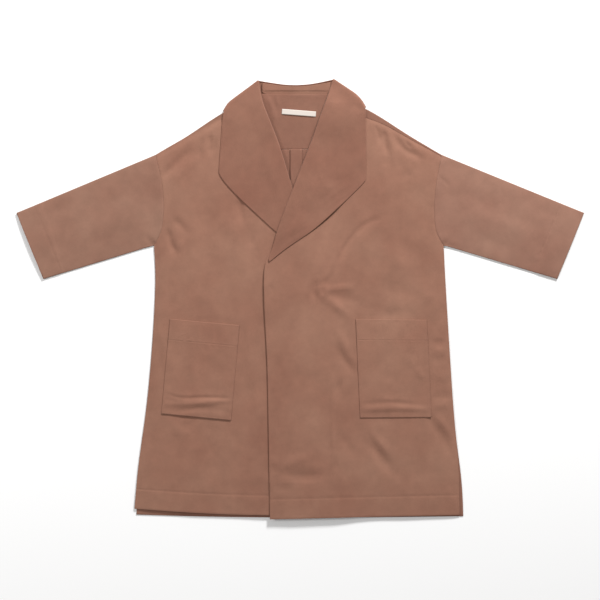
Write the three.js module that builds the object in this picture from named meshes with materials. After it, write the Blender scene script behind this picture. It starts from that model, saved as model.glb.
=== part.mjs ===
// Kimono coat, buttoned across and laid flat on its back on a table.
// Millimetres: +Z is up off the table, +Y points to the collar and +X to the wearer's left sleeve.
// Every piece of cloth is a wall of its own: a grid of points in mid-cloth, moved out to both faces.
import * as THREE from "three";

// ---- driving sizes ----
const CLOTH = 1.2; // one layer of the coat's cloth
const COLLAR_CLOTH = 1.6; // upper and under collar together
const SEAM = 0.3; // clearance between pieces that are sewn or lie together
const REST_GAP = 0.36; // clearance under a piece that is settled on others, with room for its slope
const HEM_STEP = 0.5; // a turned hem is this much thicker than single cloth
const HEM_RIDGE = 3; // length over which a hem's step rises
const FRONT_HEM_DEPTH = 44;
const CUFF_HEM_DEPTH = 58;
const POCKET_BAND = 46;
const FOLD_TURN = (CLOTH + SEAM) / 2; // mid-cloth radius where cloth folds back on itself
const ROLL_TURN = 2.2; // mid-cloth radius of the collar's roll
const ROLL_LOFT = 0.9; // the collar stands this much higher at its roll than at its outer edge
const WRAP_TURN = 2.55; // mid-cloth radius where the collar wraps over a shoulder

// Softness of the laid cloth: how much higher the upper layer lies away from the folded edges.
const LOFT = { body: 1.8, sleeve: 3.2, reach: 40 };
// How far the cloth slopes down beside what it climbs over: the collar, the right front and the lapel's tip.
const SLOPE = { collar: 55, frontStart: 16, frontEnd: 70, lapel: 42 };
const STEP_UP = { front: CLOTH + 1, lapel: COLLAR_CLOTH + 0.4 };
// The inverted box pleat at the centre back, and how it lifts the cloth above it.
const PLEAT = { x: -9, halfWidth: 12.5, slit: 0.75, lift: 1.6, reach: 70 };
const YOKE_SEAM = { centreY: 330, endY: 283 }; // the seam sags from the centre back to the armholes
// Below the side vents the back's edge lies in from the right front's and out past the left front's.
const BACK_VENT = { topY: -312, right: 5, left: 8 };
const CUFF = { topX: 624, topY: 189.5, lowX: 564.6, lowY: 43.8 };
const LABEL = { x: -3, y: 409, width: 75, depth: 11.5, thickness: 1, turnDeg: -4.5 };
const SNAP = { radius: 7, thickness: 1.6, lift: 1.5, reach: 26 };
const SNAP_PLACES = { outer: [-58, 18], inner: [50, 17] };

// The coat's side edges in x, on the wearer's right (-X) and left (+X), from the hem to the underarm.
const SIDES = [
  { y: -484, right: -366.5, left: 350.5 },
  { y: -372, right: -357, left: 348.5 },
  { y: -231, right: -337, left: 336 },
  { y: -90, right: -324, left: 327 },
  { y: 50, right: -317.5, left: 318.5 },
  { y: 118, right: -322, left: 315.5 },
];
// The armhole seam in x, from the underarm to the tip of the dropped shoulder.
const ARMHOLE = [
  { y: 118, right: -322, left: 315.5 },
  { y: 130, right: -314, left: 306 },
  { y: 152, right: -304, left: 297 },
  { y: 182, right: -300.5, left: 294.5 },
  { y: 212, right: -299.5, left: 294.5 },
  { y: 237, right: -301.5, left: 296.5 },
  { y: 262, right: -305, left: 300 },
  { y: 290, right: -312, left: 305.5 },
  { y: 317, right: -318.5, left: 311 },
];
// The shoulder fold in x, from the armhole to the neck, and the strip of yoke that turns over the left one.
const SHOULDERS = [
  { y: 317, right: -318.5, left: 311, strip: 3.5 },
  { y: 337, right: -284.5, left: 277, strip: 4 },
  { y: 354, right: -254, left: 248, strip: 5.5 },
  { y: 372, right: -227, left: 219.5, strip: 7 },
  { y: 390, right: -200.5, left: 192.5, strip: 9 },
  { y: 405, right: -176.5, left: 168, strip: 14 },
  { y: 417, right: -156, left: 146.5, strip: 19 },
  { y: 430, right: -127, left: 116, strip: 14 },
  { y: 446, right: -101, left: 83, strip: 8 },
];
// The seam between yoke and collar stand, from the wearer's right to the left.
const NECK_SEAM = [
  { x: -80, y: 452 },
  { x: -60, y: 451 },
  { x: -35, y: 450.5 },
  { x: -9, y: 450.5 },
  { x: 18, y: 450.5 },
  { x: 44, y: 451 },
  { x: 62, y: 452 },
];
// The fronts' free edges in x below the break of the collar, and just inside the roll line above it.
const FRONT_EDGE = {
  right: [
    { y: -484, x: 80 },
    { y: -300, x: 76 },
    { y: -196, x: 74 },
    { y: -90, x: 72 },
    { y: 20, x: 66 },
    { y: 62, x: 54 },
    { y: 86, x: 45.5 },
    { y: 105, x: 33 },
    { y: 125, x: 22.5 },
    { y: 163, x: 6.8 },
    { y: 210, x: -8.6 },
    { y: 257, x: -24 },
    { y: 300, x: -37 },
    { y: 347, x: -51.2 },
    { y: 410, x: -77.2 },
    { y: 447, x: -89.5 },
  ],
  left: [
    { y: -484, x: -66.5 },
    { y: -357, x: -68.5 },
    { y: -163, x: -71.5 },
    { y: -60, x: -76 },
    { y: -15, x: -80 },
    { y: 62, x: -80 },
    { y: 86, x: -75.5 },
    { y: 105, x: -63.5 },
    { y: 125, x: -54.5 },
    { y: 163, x: -43.5 },
    { y: 210, x: -26 },
    { y: 257, x: -7.5 },
    { y: 300, x: 9.5 },
    { y: 347, x: 26.8 },
    { y: 410, x: 49.3 },
    { y: 447, x: 62.5 },
  ],
};
// Rows of points over each front: their y at the side, armhole or shoulder, and at the free edge or roll.
const FRONT_ROWS = [
  { outer: -372, inner: -362 },
  { outer: -300, inner: -292 },
  { outer: -231, inner: -225 },
  { outer: -160, inner: -160 },
  { outer: -90, inner: -95 },
  { outer: -20, inner: -30 },
  { outer: 50, inner: 25 },
  { outer: 85, inner: 62 },
  { outer: 118, inner: 86 },
  { outer: 130, inner: 105 },
  { outer: 152, inner: 130 },
  { outer: 182, inner: 163 },
  { outer: 212, inner: 196 },
  { outer: 237, inner: 226 },
  { outer: 262, inner: 254 },
  { outer: 290, inner: 280 },
  { outer: 317, inner: 305 },
  { outer: 337, inner: 330 },
  { outer: 354, inner: 350 },
  { outer: 372, inner: 368 },
  { outer: 390, inner: 385 },
  { outer: 405, inner: 401 },
  { outer: 417, inner: 415 },
  { outer: 430, inner: 429 },
  { outer: 446, inner: 447 },
];
const FRONT_HEM = {
  right: { outer: -461, middle: -474, inner: -474.5 },
  left: { outer: -475, middle: -479, inner: -483.6 },
};
const FRONT_COLUMNS = 14;
// Rows of points over the back below the yoke.
const BACK_ROWS = [
  { side: -430, centre: -436 },
  { side: -372, centre: -372 },
  { side: -312, centre: -312 },
  { side: -231, centre: -231 },
  { side: -140, centre: -140 },
  { side: -50, centre: -50 },
  { side: 50, centre: 50 },
  { side: 118, centre: 122 },
  { side: 130, centre: 150 },
  { side: 152, centre: 178 },
  { side: 182, centre: 210 },
  { side: 212, centre: 242 },
  { side: 237, centre: 272 },
  { side: 262, centre: 301 },
];
const BACK_HEM = { right: -474, centre: -480.5, left: -477.5 };
const BACK_COLUMNS = 9; // on each side of the pleat
const YOKE_ROWS = 5;

// The collar's rows on each front, from its tip at the break up to the shoulder:
// roll line, outer edge, and radius of the turn at the roll.
const COLLAR_ROWS = {
  right: [
    { rollX: 40, rollY: 90, edgeX: 39, edgeY: 82.5, turn: 0.7 },
    { rollX: 33.5, rollY: 106, edgeX: 16, edgeY: 99, turn: 0.7 },
    { rollX: 27.5, rollY: 122, edgeX: -8, edgeY: 115.5, turn: 1.2 },
    { rollX: 18, rollY: 143, edgeX: -32, edgeY: 132, turn: 2 },
    { rollX: 10, rollY: 163, edgeX: -54.5, edgeY: 147, turn: ROLL_TURN },
    { rollX: -4, rollY: 205, edgeX: -95.5, edgeY: 186, turn: ROLL_TURN },
    { rollX: -15.5, rollY: 240, edgeX: -143.5, edgeY: 230, turn: ROLL_TURN },
    { rollX: -24, rollY: 268, edgeX: -173.5, edgeY: 264, turn: ROLL_TURN },
    { rollX: -33, rollY: 298, edgeX: -179, edgeY: 278, turn: ROLL_TURN },
    { rollX: -48, rollY: 347, edgeX: -176, edgeY: 330, turn: ROLL_TURN },
    { rollX: -66, rollY: 391, edgeX: -173.5, edgeY: 370, turn: ROLL_TURN },
    { rollX: -80, rollY: 425, edgeX: -171, edgeY: 392, turn: ROLL_TURN },
    { rollX: -87.5, rollY: 455, edgeX: -170.5, edgeY: 404, turn: ROLL_TURN },
  ],
  left: [
    { rollX: -70, rollY: 88, edgeX: -69, edgeY: 80.5, turn: 0.7 },
    { rollX: -65, rollY: 103, edgeX: -47, edgeY: 98.3, turn: 0.7 },
    { rollX: -60, rollY: 118, edgeX: -22.5, edgeY: 117, turn: 1.2 },
    { rollX: -54, rollY: 140, edgeX: 6, edgeY: 135.5, turn: 2 },
    { rollX: -47, rollY: 163, edgeX: 32.5, edgeY: 153, turn: ROLL_TURN },
    { rollX: -29.5, rollY: 209, edgeX: 87.5, edgeY: 204, turn: ROLL_TURN },
    { rollX: -10.5, rollY: 257, edgeX: 138, edgeY: 252.5, turn: ROLL_TURN },
    { rollX: -4, rollY: 275, edgeX: 143.5, edgeY: 261, turn: ROLL_TURN },
    { rollX: 6, rollY: 300, edgeX: 144.5, edgeY: 292, turn: ROLL_TURN },
    { rollX: 23.5, rollY: 347, edgeX: 144, edgeY: 335, turn: ROLL_TURN },
    { rollX: 40, rollY: 394, edgeX: 143.5, edgeY: 375, turn: ROLL_TURN },
    { rollX: 54.5, rollY: 433, edgeX: 143, edgeY: 398, turn: ROLL_TURN },
    { rollX: 63, rollY: 457, edgeX: 144.5, edgeY: 411, turn: ROLL_TURN },
  ],
};
// The fold in which the collar wraps over each shoulder, from its outer edge to the roll at the neck.
const COLLAR_WRAP = {
  right: [
    { x: -170.5, y: 413 },
    { x: -162.5, y: 429 },
    { x: -141, y: 446 },
    { x: -117, y: 463.5 },
    { x: -92.5, y: 482 },
  ],
  left: [
    { x: 145, y: 421.5 },
    { x: 138, y: 435 },
    { x: 126, y: 449 },
    { x: 104, y: 464 },
    { x: 73, y: 484.8 },
  ],
};
// The collar behind the neck, under the yoke: roll at the top and outer edge below it.
const COLLAR_BACK_ROWS = [
  { rollX: -62, rollY: 475, edgeX: -115, edgeY: 392 },
  { rollX: -36, rollY: 471, edgeX: -62, edgeY: 386 },
  { rollX: -9, rollY: 470, edgeX: -9, edgeY: 384 },
  { rollX: 18, rollY: 471.5, edgeX: 44, edgeY: 386 },
  { rollX: 46, rollY: 476.5, edgeX: 96, edgeY: 394 },
];
const COLLAR_COLUMNS = 5;
// The collar stand behind the neck, from the neck seam to just under the roll.
const STAND_ROWS = [
  { x: -84, seamY: 455, rollY: 475 },
  { x: -62, seamY: 451.4, rollY: 472 },
  { x: -36, seamY: 450.9, rollY: 468.2 },
  { x: -9, seamY: 450.9, rollY: 467.2 },
  { x: 18, seamY: 450.9, rollY: 468.7 },
  { x: 46, seamY: 451.4, rollY: 473.5 },
  { x: 66, seamY: 455, rollY: 476.5 },
];
const STAND_RISE = 0.3;
// Corners of the patch pockets: upper edge and lower edge, each from -X to +X.
const POCKETS = {
  right: { upper: [[-286, -43.5], [-134, -57.5]], lower: [[-305, -252.3], [-152.5, -267]] },
  left: { upper: [[121.5, -44], [277.5, -46]], lower: [[131.5, -260.5], [287.7, -259.5]] },
};
// The largest creases of the upper cloth, each along a line: troughs where rise is below 0, else ridges.
const CREASES = [
  { from: [180, 382], to: [198, 318], width: 20, rise: -1.3 },
  { from: [232, 348], to: [262, 300], width: 20, rise: -1 },
  { from: [-200, 372], to: [-294, 276], width: 22, rise: -1.4 },
  { from: [-292, 150], to: [-282, 100], width: 18, rise: -1.2 },
  { from: [112, 140], to: [74, 46], width: 26, rise: -0.9 },
  { from: [420, 250], to: [520, 208], width: 24, rise: 0.8 },
  { from: [-400, 150], to: [-500, 110], width: 24, rise: 0.8 },
];

const UNDERARM_Y = ARMHOLE[0].y;
const TIP_Y = ARMHOLE.at(-1).y;

// ---- small tools ----
const lerp = THREE.MathUtils.lerp;
const fade = (value, from, to) => 1 - THREE.MathUtils.smoothstep(value, from, to);
const node = (x, y, z, t = CLOTH) => ({ x, y, z, t });
const shares = (count, crowding = 1) =>
  Array.from({ length: count + 1 }, (_, k) => (k / count) ** crowding);
const between = (a, b, share) => a.map((value, k) => lerp(value, b[k], share));
const sumOf = (list, term) => list.reduce((sum, item) => sum + term(item), 0);
const bell = (distance, width) => Math.exp(-((distance / width) ** 2));

// Reads one column of a table whose rows climb in y, in straight lines between the rows.
function read(table, column, y) {
  const above = table.findIndex((row) => row.y >= y);
  if (above < 1) return table.at(above)[column];
  const [low, high] = [table[above - 1], table[above]];
  return lerp(low[column], high[column], (y - low.y) / (high.y - low.y));
}

function distanceToPath(path, x, y) {
  let nearest = Infinity;
  for (let k = 1; k < path.length; k++) {
    const [ax, ay] = path[k - 1];
    const [dx, dy] = [path[k][0] - ax, path[k][1] - ay];
    const along = THREE.MathUtils.clamp(((x - ax) * dx + (y - ay) * dy) / (dx * dx + dy * dy), 0, 1);
    nearest = Math.min(nearest, Math.hypot(x - ax - along * dx, y - ay - along * dy));
  }
  return nearest;
}

// 1 inside a closed outline, falling smoothly to 0 at reach outside it.
function within(outline, reach, x, y) {
  let inside = false;
  outline.forEach(([ax, ay], k) => {
    const [bx, by] = outline.at(k - 1);
    if (ay > y !== by > y && x < ((bx - ax) * (y - ay)) / (by - ay) + ax) inside = !inside;
  });
  return inside ? 1 : fade(distanceToPath([...outline, outline[0]], x, y), 0, reach);
}

// ---- how high the cloth lies ----
const SIDE_WAY = { right: -1, left: 1 };
const BOTH = ["right", "left"];
const FOLDED_EDGES = BOTH.flatMap((side) => [
  [...SIDES.map((row) => [row[side], row.y]), [SIDE_WAY[side] * CUFF.lowX, CUFF.lowY]],
  [[SIDE_WAY[side] * CUFF.topX, CUFF.topY], ...SHOULDERS.map((row) => [row[side], row.y])],
]);
const COLLAR_BEHIND = [
  ...COLLAR_WRAP.right.map((p) => [p.x, p.y]),
  ...COLLAR_BACK_ROWS.map((row) => [row.rollX, row.rollY]),
  ...COLLAR_WRAP.left.map((p) => [p.x, p.y]).reverse(),
  ...COLLAR_BACK_ROWS.map((row) => [row.edgeX, row.edgeY]).reverse(),
];
const HIDDEN_LAPEL = [
  ...COLLAR_ROWS.right.slice(0, 7).map((row) => [row.edgeX, row.edgeY]),
  ...COLLAR_ROWS.right.slice(0, 7).map((row) => [row.rollX, row.rollY]).reverse(),
];

// The collar behind the neck lifts all the cloth above it.
const liftOverCollar = (x, y) => (COLLAR_CLOTH + SEAM) * within(COLLAR_BEHIND, SLOPE.collar, x, y);
const lowerHeight = (x, y) => CLOTH / 2 + liftOverCollar(x, y);

// Middle of the upper layer: the sleeves' tops, the right front, and the left front before it climbs.
function upperHeight(x, y, thickness = CLOTH) {
  const edge = Math.min(...FOLDED_EDGES.map((path) => distanceToPath(path, x, y)));
  const loft = lerp(LOFT.sleeve, LOFT.body, fade(Math.abs(x), 320, 420));
  const creases = sumOf(CREASES, (c) => c.rise * bell(distanceToPath([c.from, c.to], x, y), c.width));
  const overPleat = PLEAT.lift * bell(x - PLEAT.x, PLEAT.reach) * fade(y, 300, 360);
  const soft = (loft + creases + overPleat) * (1 - Math.exp(-edge / LOFT.reach));
  return 1.5 * thickness + SEAM + liftOverCollar(x, y) + soft;
}

// The left front also climbs over the right front, the tip of its lapel and the snaps.
function leftFrontHeight(x, y) {
  const pastEdge = x - read(FRONT_EDGE.right, "x", y);
  const overFront = STEP_UP.front * fade(pastEdge, SLOPE.frontStart, SLOPE.frontEnd);
  const overLapel = STEP_UP.lapel * within(HIDDEN_LAPEL, SLOPE.lapel, x, y);
  const overSnap = ([snapX, snapY]) => SNAP.lift * bell(Math.hypot(x - snapX, y - snapY), SNAP.reach);
  const overSnaps = sumOf(Object.values(SNAP_PLACES), overSnap);
  return upperHeight(x, y) + overFront + overLapel + overSnaps;
}
const FRONT_HEIGHT = { right: (x, y) => upperHeight(x, y), left: leftFrontHeight };

// ---- walls of cloth ----
// Joins grids of middle points where they share points, and moves them out to both faces.
function clothSolid(...grids) {
  const nodes = [];
  const idByPlace = new Map();
  const idOf = (n) => {
    const place = [n.x, n.y, n.z].map((value) => value.toFixed(3)).join();
    if (!idByPlace.has(place)) idByPlace.set(place, nodes.push(n) - 1);
    return idByPlace.get(place);
  };
  const faces = grids
    .flatMap((grid) => cells(grid.map((row) => row.map(idOf))))
    .filter((corners) => new Set(corners).size === 3);
  const middle = nodes.map((n) => new THREE.Vector3(n.x, n.y, n.z));
  const normals = nodes.map(() => new THREE.Vector3());
  for (const [a, b, c] of faces) {
    const square = middle[b].clone().sub(middle[a]).cross(middle[c].clone().sub(middle[a]));
    for (const id of [a, b, c]) normals[id].add(square);
  }
  const moved = (m, k, way) => m.clone().addScaledVector(normals[k].normalize(), (way * nodes[k].t) / 2);
  const face = (way) => middle.flatMap((m, k) => moved(m, k, way).toArray());
  const edges = new Set(faces.flatMap(([a, b, c]) => [`${a},${b}`, `${b},${c}`, `${c},${a}`]));
  const under = nodes.length;
  const index = [];
  for (const [a, b, c] of faces) index.push(a, b, c, under + c, under + b, under + a);
  for (const edge of edges) {
    const [a, b] = edge.split(",").map(Number);
    if (!edges.has(`${b},${a}`)) index.push(under + a, under + b, b, under + a, b, a);
  }
  return new THREE.BufferGeometry()
    .setAttribute("position", new THREE.Float32BufferAttribute([...face(1), ...face(-1)], 3))
    .setIndex(index);
}

// The two triangles of every cell of a grid.
function cells(grid) {
  const triangles = [];
  for (let i = 1; i < grid.length; i++)
    for (let j = 1; j < grid[i].length; j++) {
      const [a, b, c, d] = [grid[i - 1][j - 1], grid[i - 1][j], grid[i][j], grid[i][j - 1]];
      triangles.push([a, b, c], [a, c, d]);
    }
  return triangles;
}

// Height of the highest upward face of some geometries at a place.
function topOf(geometries) {
  const triangles = geometries.flatMap((geometry) => {
    const corners = geometry.toNonIndexed().getAttribute("position");
    const upward = [];
    for (let k = 0; k < corners.count; k += 3) {
      const [a, b, c] = [k, k + 1, k + 2].map((at) => new THREE.Vector3().fromBufferAttribute(corners, at));
      const area = (b.x - a.x) * (c.y - a.y) - (c.x - a.x) * (b.y - a.y);
      if (area > 1e-6) upward.push({ a, b, c, area });
    }
    return upward;
  });
  return (x, y) => {
    let top = -Infinity;
    for (const { a, b, c, area } of triangles) {
      const u = ((b.x - x) * (c.y - y) - (c.x - x) * (b.y - y)) / area;
      if (u < 0 || u > 1) continue;
      const v = ((c.x - x) * (a.y - y) - (a.x - x) * (c.y - y)) / area;
      if (v < 0 || u + v > 1) continue;
      top = Math.max(top, u * a.z + v * b.z + (1 - u - v) * c.z);
    }
    return top;
  };
}

// Even steps over a triangle, as shares of its three corners.
const WEIGHTS = shares(8)
  .flatMap((u) => shares(8).map((v) => [u, v, 1 - u - v]))
  .filter((weights) => weights[2] > -1e-9);

// Raises the points of a grid until all of its cells lie clear of what is below them.
function settle(grid, below) {
  const top = topOf(below);
  const samples = cells(grid).flatMap((corners) =>
    WEIGHTS.map((weights) => {
      const mix = (key) => corners.reduce((sum, n, k) => sum + n[key] * weights[k], 0);
      return { corners, weights, floor: top(mix("x"), mix("y")) + mix("t") / 2 + REST_GAP };
    }).filter((sample) => Number.isFinite(sample.floor)),
  );
  for (let pass = 0; pass < 60; pass++)
    for (const { corners, weights, floor } of samples) {
      const lack = floor - corners.reduce((sum, n, k) => sum + n.z * weights[k], 0);
      if (lack <= 0) continue;
      const share = lack / weights.reduce((sum, w) => sum + w * w, 0);
      corners.forEach((n, k) => (n.z += share * weights[k]));
    }
  return grid;
}

// ---- outlines shared by pieces ----
function outlineX(side, y) {
  if (y <= UNDERARM_Y) return read(SIDES, side, y);
  return read(y <= TIP_Y ? ARMHOLE : SHOULDERS, side, y);
}

// A point on the armhole, half a seam's clearance in from it (inward 1) or out from it (inward -1).
const armholePoint = (side, y, inward) => [
  read(ARMHOLE, side, y) - SIDE_WAY[side] * inward * (SEAM / 2),
  y,
];

// Direction into the coat, square to the shoulder fold; at the armhole it runs down the armhole.
function shoulderInward(side, k) {
  const row = SHOULDERS[k];
  if (k === 0) return direction([row[side], row.y], [read(ARMHOLE, side, 290), 290]);
  const [before, after] = [SHOULDERS[k - 1], SHOULDERS[Math.min(k + 1, SHOULDERS.length - 1)]];
  const [dx, dy] = direction([before[side], before.y], [after[side], after.y]);
  return side === "left" ? [-dy, dx] : [dy, -dx];
}

function direction(from, to) {
  const length = Math.hypot(to[0] - from[0], to[1] - from[1]);
  return [(to[0] - from[0]) / length, (to[1] - from[1]) / length];
}

function shoulderPoint(side, k, inset) {
  const row = SHOULDERS[k];
  const start = k === 0 ? armholePoint(side, row.y, 1) : [row[side], row.y];
  const [dx, dy] = shoulderInward(side, k);
  return [start[0] + dx * inset, start[1] + dy * inset];
}

// The yoke seam by share of its length from the centre (0) to the right (-1) or left (1) armhole.
function yokeSeam(share, side = share < 0 ? "right" : "left") {
  const endX = armholePoint(side, YOKE_SEAM.endY, 1)[0];
  return [Math.abs(share) * endX, YOKE_SEAM.centreY - (YOKE_SEAM.centreY - YOKE_SEAM.endY) * share ** 2];
}

// ---- pieces ----
// Half a turn of a folded section about a centre, from an angle in degrees; way is +1 or -1.
function halfTurn(centreX, centreZ, fromDeg, way) {
  return shares(4).map((share) => {
    const angle = THREE.MathUtils.degToRad(fromDeg + way * 180 * share);
    return [centreX + FOLD_TURN * Math.cos(angle), centreZ + FOLD_TURN * Math.sin(angle)];
  });
}

function backGeometry() {
  const low = CLOTH / 2;
  const high = low + 4 * FOLD_TURN;
  const { halfWidth, slit } = PLEAT;
  const pleat = [
    ...halfTurn(-slit - CLOTH / 2 - FOLD_TURN, low + FOLD_TURN, -90, 1),
    ...halfTurn(-halfWidth + FOLD_TURN, high - FOLD_TURN, -90, -1),
    ...halfTurn(halfWidth - FOLD_TURN, high - FOLD_TURN, 90, -1),
    ...halfTurn(slit + CLOTH / 2 + FOLD_TURN, low + FOLD_TURN, 90, 1),
  ];
  const seam = { side: YOKE_SEAM.endY, centre: YOKE_SEAM.centreY };
  const rows = [BACK_HEM, ...BACK_ROWS, seam].map((row) => {
    const end = (side) => {
      const y = row[side] ?? row.side;
      const vent = BACK_VENT[side] * fade(y, -440, BACK_VENT.topY);
      return y >= UNDERARM_Y ? armholePoint(side, y, 1) : [outlineX(side, y) + vent, y];
    };
    const drop = row === seam ? SEAM : 0;
    const half = (side, startX) => {
      const [endX, endY] = end(side);
      return shares(BACK_COLUMNS, 1.1).slice(0, -1).map((share) => {
        const x = lerp(endX, startX, share);
        return node(x, row.centre + (endY - row.centre) * (x / endX) ** 2 - drop, low);
      });
    };
    const middle = pleat.map(([dx, z]) => node(PLEAT.x + dx, row.centre - drop, z));
    return [...half("right", middle[0].x), ...middle, ...half("left", middle.at(-1).x).reverse()];
  });
  return clothSolid(rows);
}

function yokeGeometry(collarBack) {
  const fold = CLOTH / 2 + FOLD_TURN;
  const last = SHOULDERS.length - 1;
  // Each column runs from the yoke seam up to the shoulder fold or the neck seam.
  const column = (x, top) => {
    const side = x < 0 ? "right" : "left";
    const share = x / SHOULDERS[0][side];
    return { top, seam: yokeSeam(share * SIDE_WAY[side], side) };
  };
  const columns = [
    ...SHOULDERS.map((row, k) => column(row.right, shoulderPoint("right", k, 0))),
    ...NECK_SEAM.map((p) => column(p.x, [p.x, p.y])),
    ...SHOULDERS.map((row, k) => column(row.left, shoulderPoint("left", k, fold))).reverse(),
  ];
  const grid = shares(YOKE_ROWS).map((share) =>
    columns.map(({ seam, top }) => {
      const [x, y] = between(seam, top, share);
      return node(x, y, lowerHeight(x, y));
    }),
  );
  settle(grid, [collarBack]);
  // Over the left shoulder the yoke folds forward into a strip.
  const foldLine = grid.at(-1).slice(-SHOULDERS.length);
  const turned = (angleDeg) =>
    foldLine.map((start, n) => {
      const k = last - n;
      const angle = THREE.MathUtils.degToRad(angleDeg);
      const [x, y] = shoulderPoint("left", k, fold - FOLD_TURN * Math.cos(angle));
      return node(x, y, start.z + FOLD_TURN * (1 + Math.sin(angle)));
    });
  const strip = (share) =>
    foldLine.map((start, n) => {
      const k = last - n;
      const [x, y] = shoulderPoint("left", k, lerp(fold, SHOULDERS[k].strip, share));
      return node(x, y, Math.max(upperHeight(x, y), start.z + 2 * FOLD_TURN));
    });
  return clothSolid(grid, [foldLine, turned(-45), turned(0), turned(45), turned(90), strip(0.5), strip(1)]);
}

function frontGrid(side) {
  const hem = FRONT_HEM[side];
  const sag = hem.middle - (hem.outer + hem.inner) / 2;
  const hemRow = (up, extra) => ({ outer: hem.outer + up, inner: hem.inner + up, sag, extra });
  const rows = [
    hemRow(0, HEM_STEP),
    hemRow(FRONT_HEM_DEPTH - HEM_RIDGE, HEM_STEP),
    hemRow(FRONT_HEM_DEPTH, 0),
    ...FRONT_ROWS,
  ];
  const outerPoint = (y) => {
    const k = SHOULDERS.findIndex((row) => row.y === y);
    if (k >= 0) return shoulderPoint(side, k, side === "left" ? SHOULDERS[k].strip + SEAM : 0);
    return y >= UNDERARM_Y ? armholePoint(side, y, 1) : [outlineX(side, y), y];
  };
  return rows.map(({ outer, inner, sag: rowSag = 0, extra = 0 }) =>
    shares(FRONT_COLUMNS, 1.15).map((share) => {
      const [x, y] = between(outerPoint(outer), [read(FRONT_EDGE[side], "x", inner), inner], share);
      const dipped = y + rowSag * Math.sin(Math.PI * share);
      return node(x, dipped, FRONT_HEIGHT[side](x, dipped) + extra / 2, CLOTH + extra);
    }),
  );
}

const SLEEVE_SECTION = ARMHOLE.map((row) => (TIP_Y - row.y) / (TIP_Y - UNDERARM_Y)).reverse();
function sleeveGeometry(side) {
  const way = SIDE_WAY[side];
  const cuffTop = [way * CUFF.topX, CUFF.topY];
  const cuffLow = [way * CUFF.lowX, CUFF.lowY];
  const length = Math.hypot(CUFF.topX - SHOULDERS[0].left, CUFF.topY - TIP_Y);
  const hemStart = 1 - CUFF_HEM_DEPTH / length;
  const stations = [
    ...[0, 0.08, 0.18, 0.3, 0.42, 0.54, 0.66, 0.75].map((along) => ({ along, extra: 0 })),
    { along: hemStart - HEM_RIDGE / length, extra: 0 },
    ...[hemStart, (1 + hemStart) / 2, 1].map((along) => ({ along, extra: HEM_STEP })),
  ];
  const rings = stations.map(({ along, extra }) => {
    const t = CLOTH + extra;
    const turn = (t + SEAM) / 2;
    const at = (share) => {
      const atArmhole = armholePoint(side, lerp(TIP_Y, UNDERARM_Y, share), -1);
      return between(atArmhole, between(cuffTop, cuffLow, share), along);
    };
    const down = direction(at(0), at(1));
    const moved = (point, by) => [point[0] + down[0] * by, point[1] + down[1] * by];
    const flat = SLEEVE_SECTION.map((share) => at(share));
    flat[0] = moved(flat[0], t / 2 + turn);
    flat[flat.length - 1] = moved(flat.at(-1), -t / 2 - turn);
    const upper = flat.map(([x, y], k) => {
      const atFold = k === 0 || k === flat.length - 1;
      return node(x, y, atFold ? 1.5 * t + SEAM : upperHeight(x, y, t), t);
    });
    const lower = flat.map(([x, y]) => node(x, y, t / 2, t)).reverse();
    const bend = (point, out) =>
      [45, 0, -45].map((angleDeg) => {
        const angle = THREE.MathUtils.degToRad(angleDeg);
        const [x, y] = moved(point, out * turn * Math.cos(angle));
        return node(x, y, t / 2 + turn * (1 + Math.sin(angle)), t);
      });
    const ring = [...upper, ...bend(flat.at(-1), 1), ...lower, ...bend(flat[0], -1).reverse()];
    return side === "left" ? [...ring, ring[0]].reverse() : [...ring, ring[0]];
  });
  return clothSolid(rings);
}

// The collar's rows on a front, from its tip to the shoulder, each from the outer edge to the roll.
function collarFrontRows(side) {
  const height = FRONT_HEIGHT[side];
  const flatRows = COLLAR_ROWS[side].map((row) => {
    const edge = [row.edgeX, row.edgeY];
    const roll = [row.rollX, row.rollY];
    const [dx, dy] = direction(edge, roll);
    const back = COLLAR_CLOTH / 2 + row.turn;
    const flatEnd = [roll[0] - dx * back, roll[1] - dy * back];
    return shares(COLLAR_COLUMNS).map((share) => {
      const [x, y] = between(edge, flatEnd, share);
      const z = height(x, y) + CLOTH / 2 + SEAM + COLLAR_CLOTH / 2 + ROLL_LOFT * share ** 2;
      return node(x, y, z, COLLAR_CLOTH);
    });
  });
  return [...flatRows, wrapRow(side, 90)];
}

// Adds a quarter turn at the roll end of a row: it leaves along across and ends along inward.
function withRoll(flatRow, turn, across, inward) {
  const { x, y, z } = flatRow.at(-1);
  const start = new THREE.Vector3(x, y, z);
  const rolled = [30, 60, 90].map((deg) => {
    const angle = THREE.MathUtils.degToRad(deg);
    const place = start.clone();
    place.addScaledVector(new THREE.Vector3(...across, 0), turn * Math.sin(angle));
    place.addScaledVector(new THREE.Vector3(...inward), turn * (1 - Math.cos(angle)));
    return node(place.x, place.y, place.z, COLLAR_CLOTH);
  });
  return [...flatRow, ...rolled];
}

const wrapCurve = (side) =>
  new THREE.CatmullRomCurve3(COLLAR_WRAP[side].map(({ x, y }) => new THREE.Vector3(x, y, 0)));

// A row of the collar on its way round the shoulder: 90 degrees on top, -90 underneath.
function wrapRow(side, angleDeg, topRow) {
  const curve = wrapCurve(side);
  const length = curve.getLength();
  const angle = THREE.MathUtils.degToRad(angleDeg);
  const low = COLLAR_CLOTH / 2;
  return shares(COLLAR_COLUMNS).map((share, k) => {
    const along = (share * (length - COLLAR_CLOTH / 2 - ROLL_TURN)) / length;
    const place = curve.getPointAt(along);
    const [inX, inY] = wrapInward(side, curve, along);
    const inset = COLLAR_CLOTH / 2 + WRAP_TURN * (1 - Math.cos(angle));
    const radius = topRow ? (topRow[k].z - low) / 2 : WRAP_TURN;
    const z = low + radius * (1 + Math.sin(angle));
    return node(place.x + inX * inset, place.y + inY * inset, z, COLLAR_CLOTH);
  });
}

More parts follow.
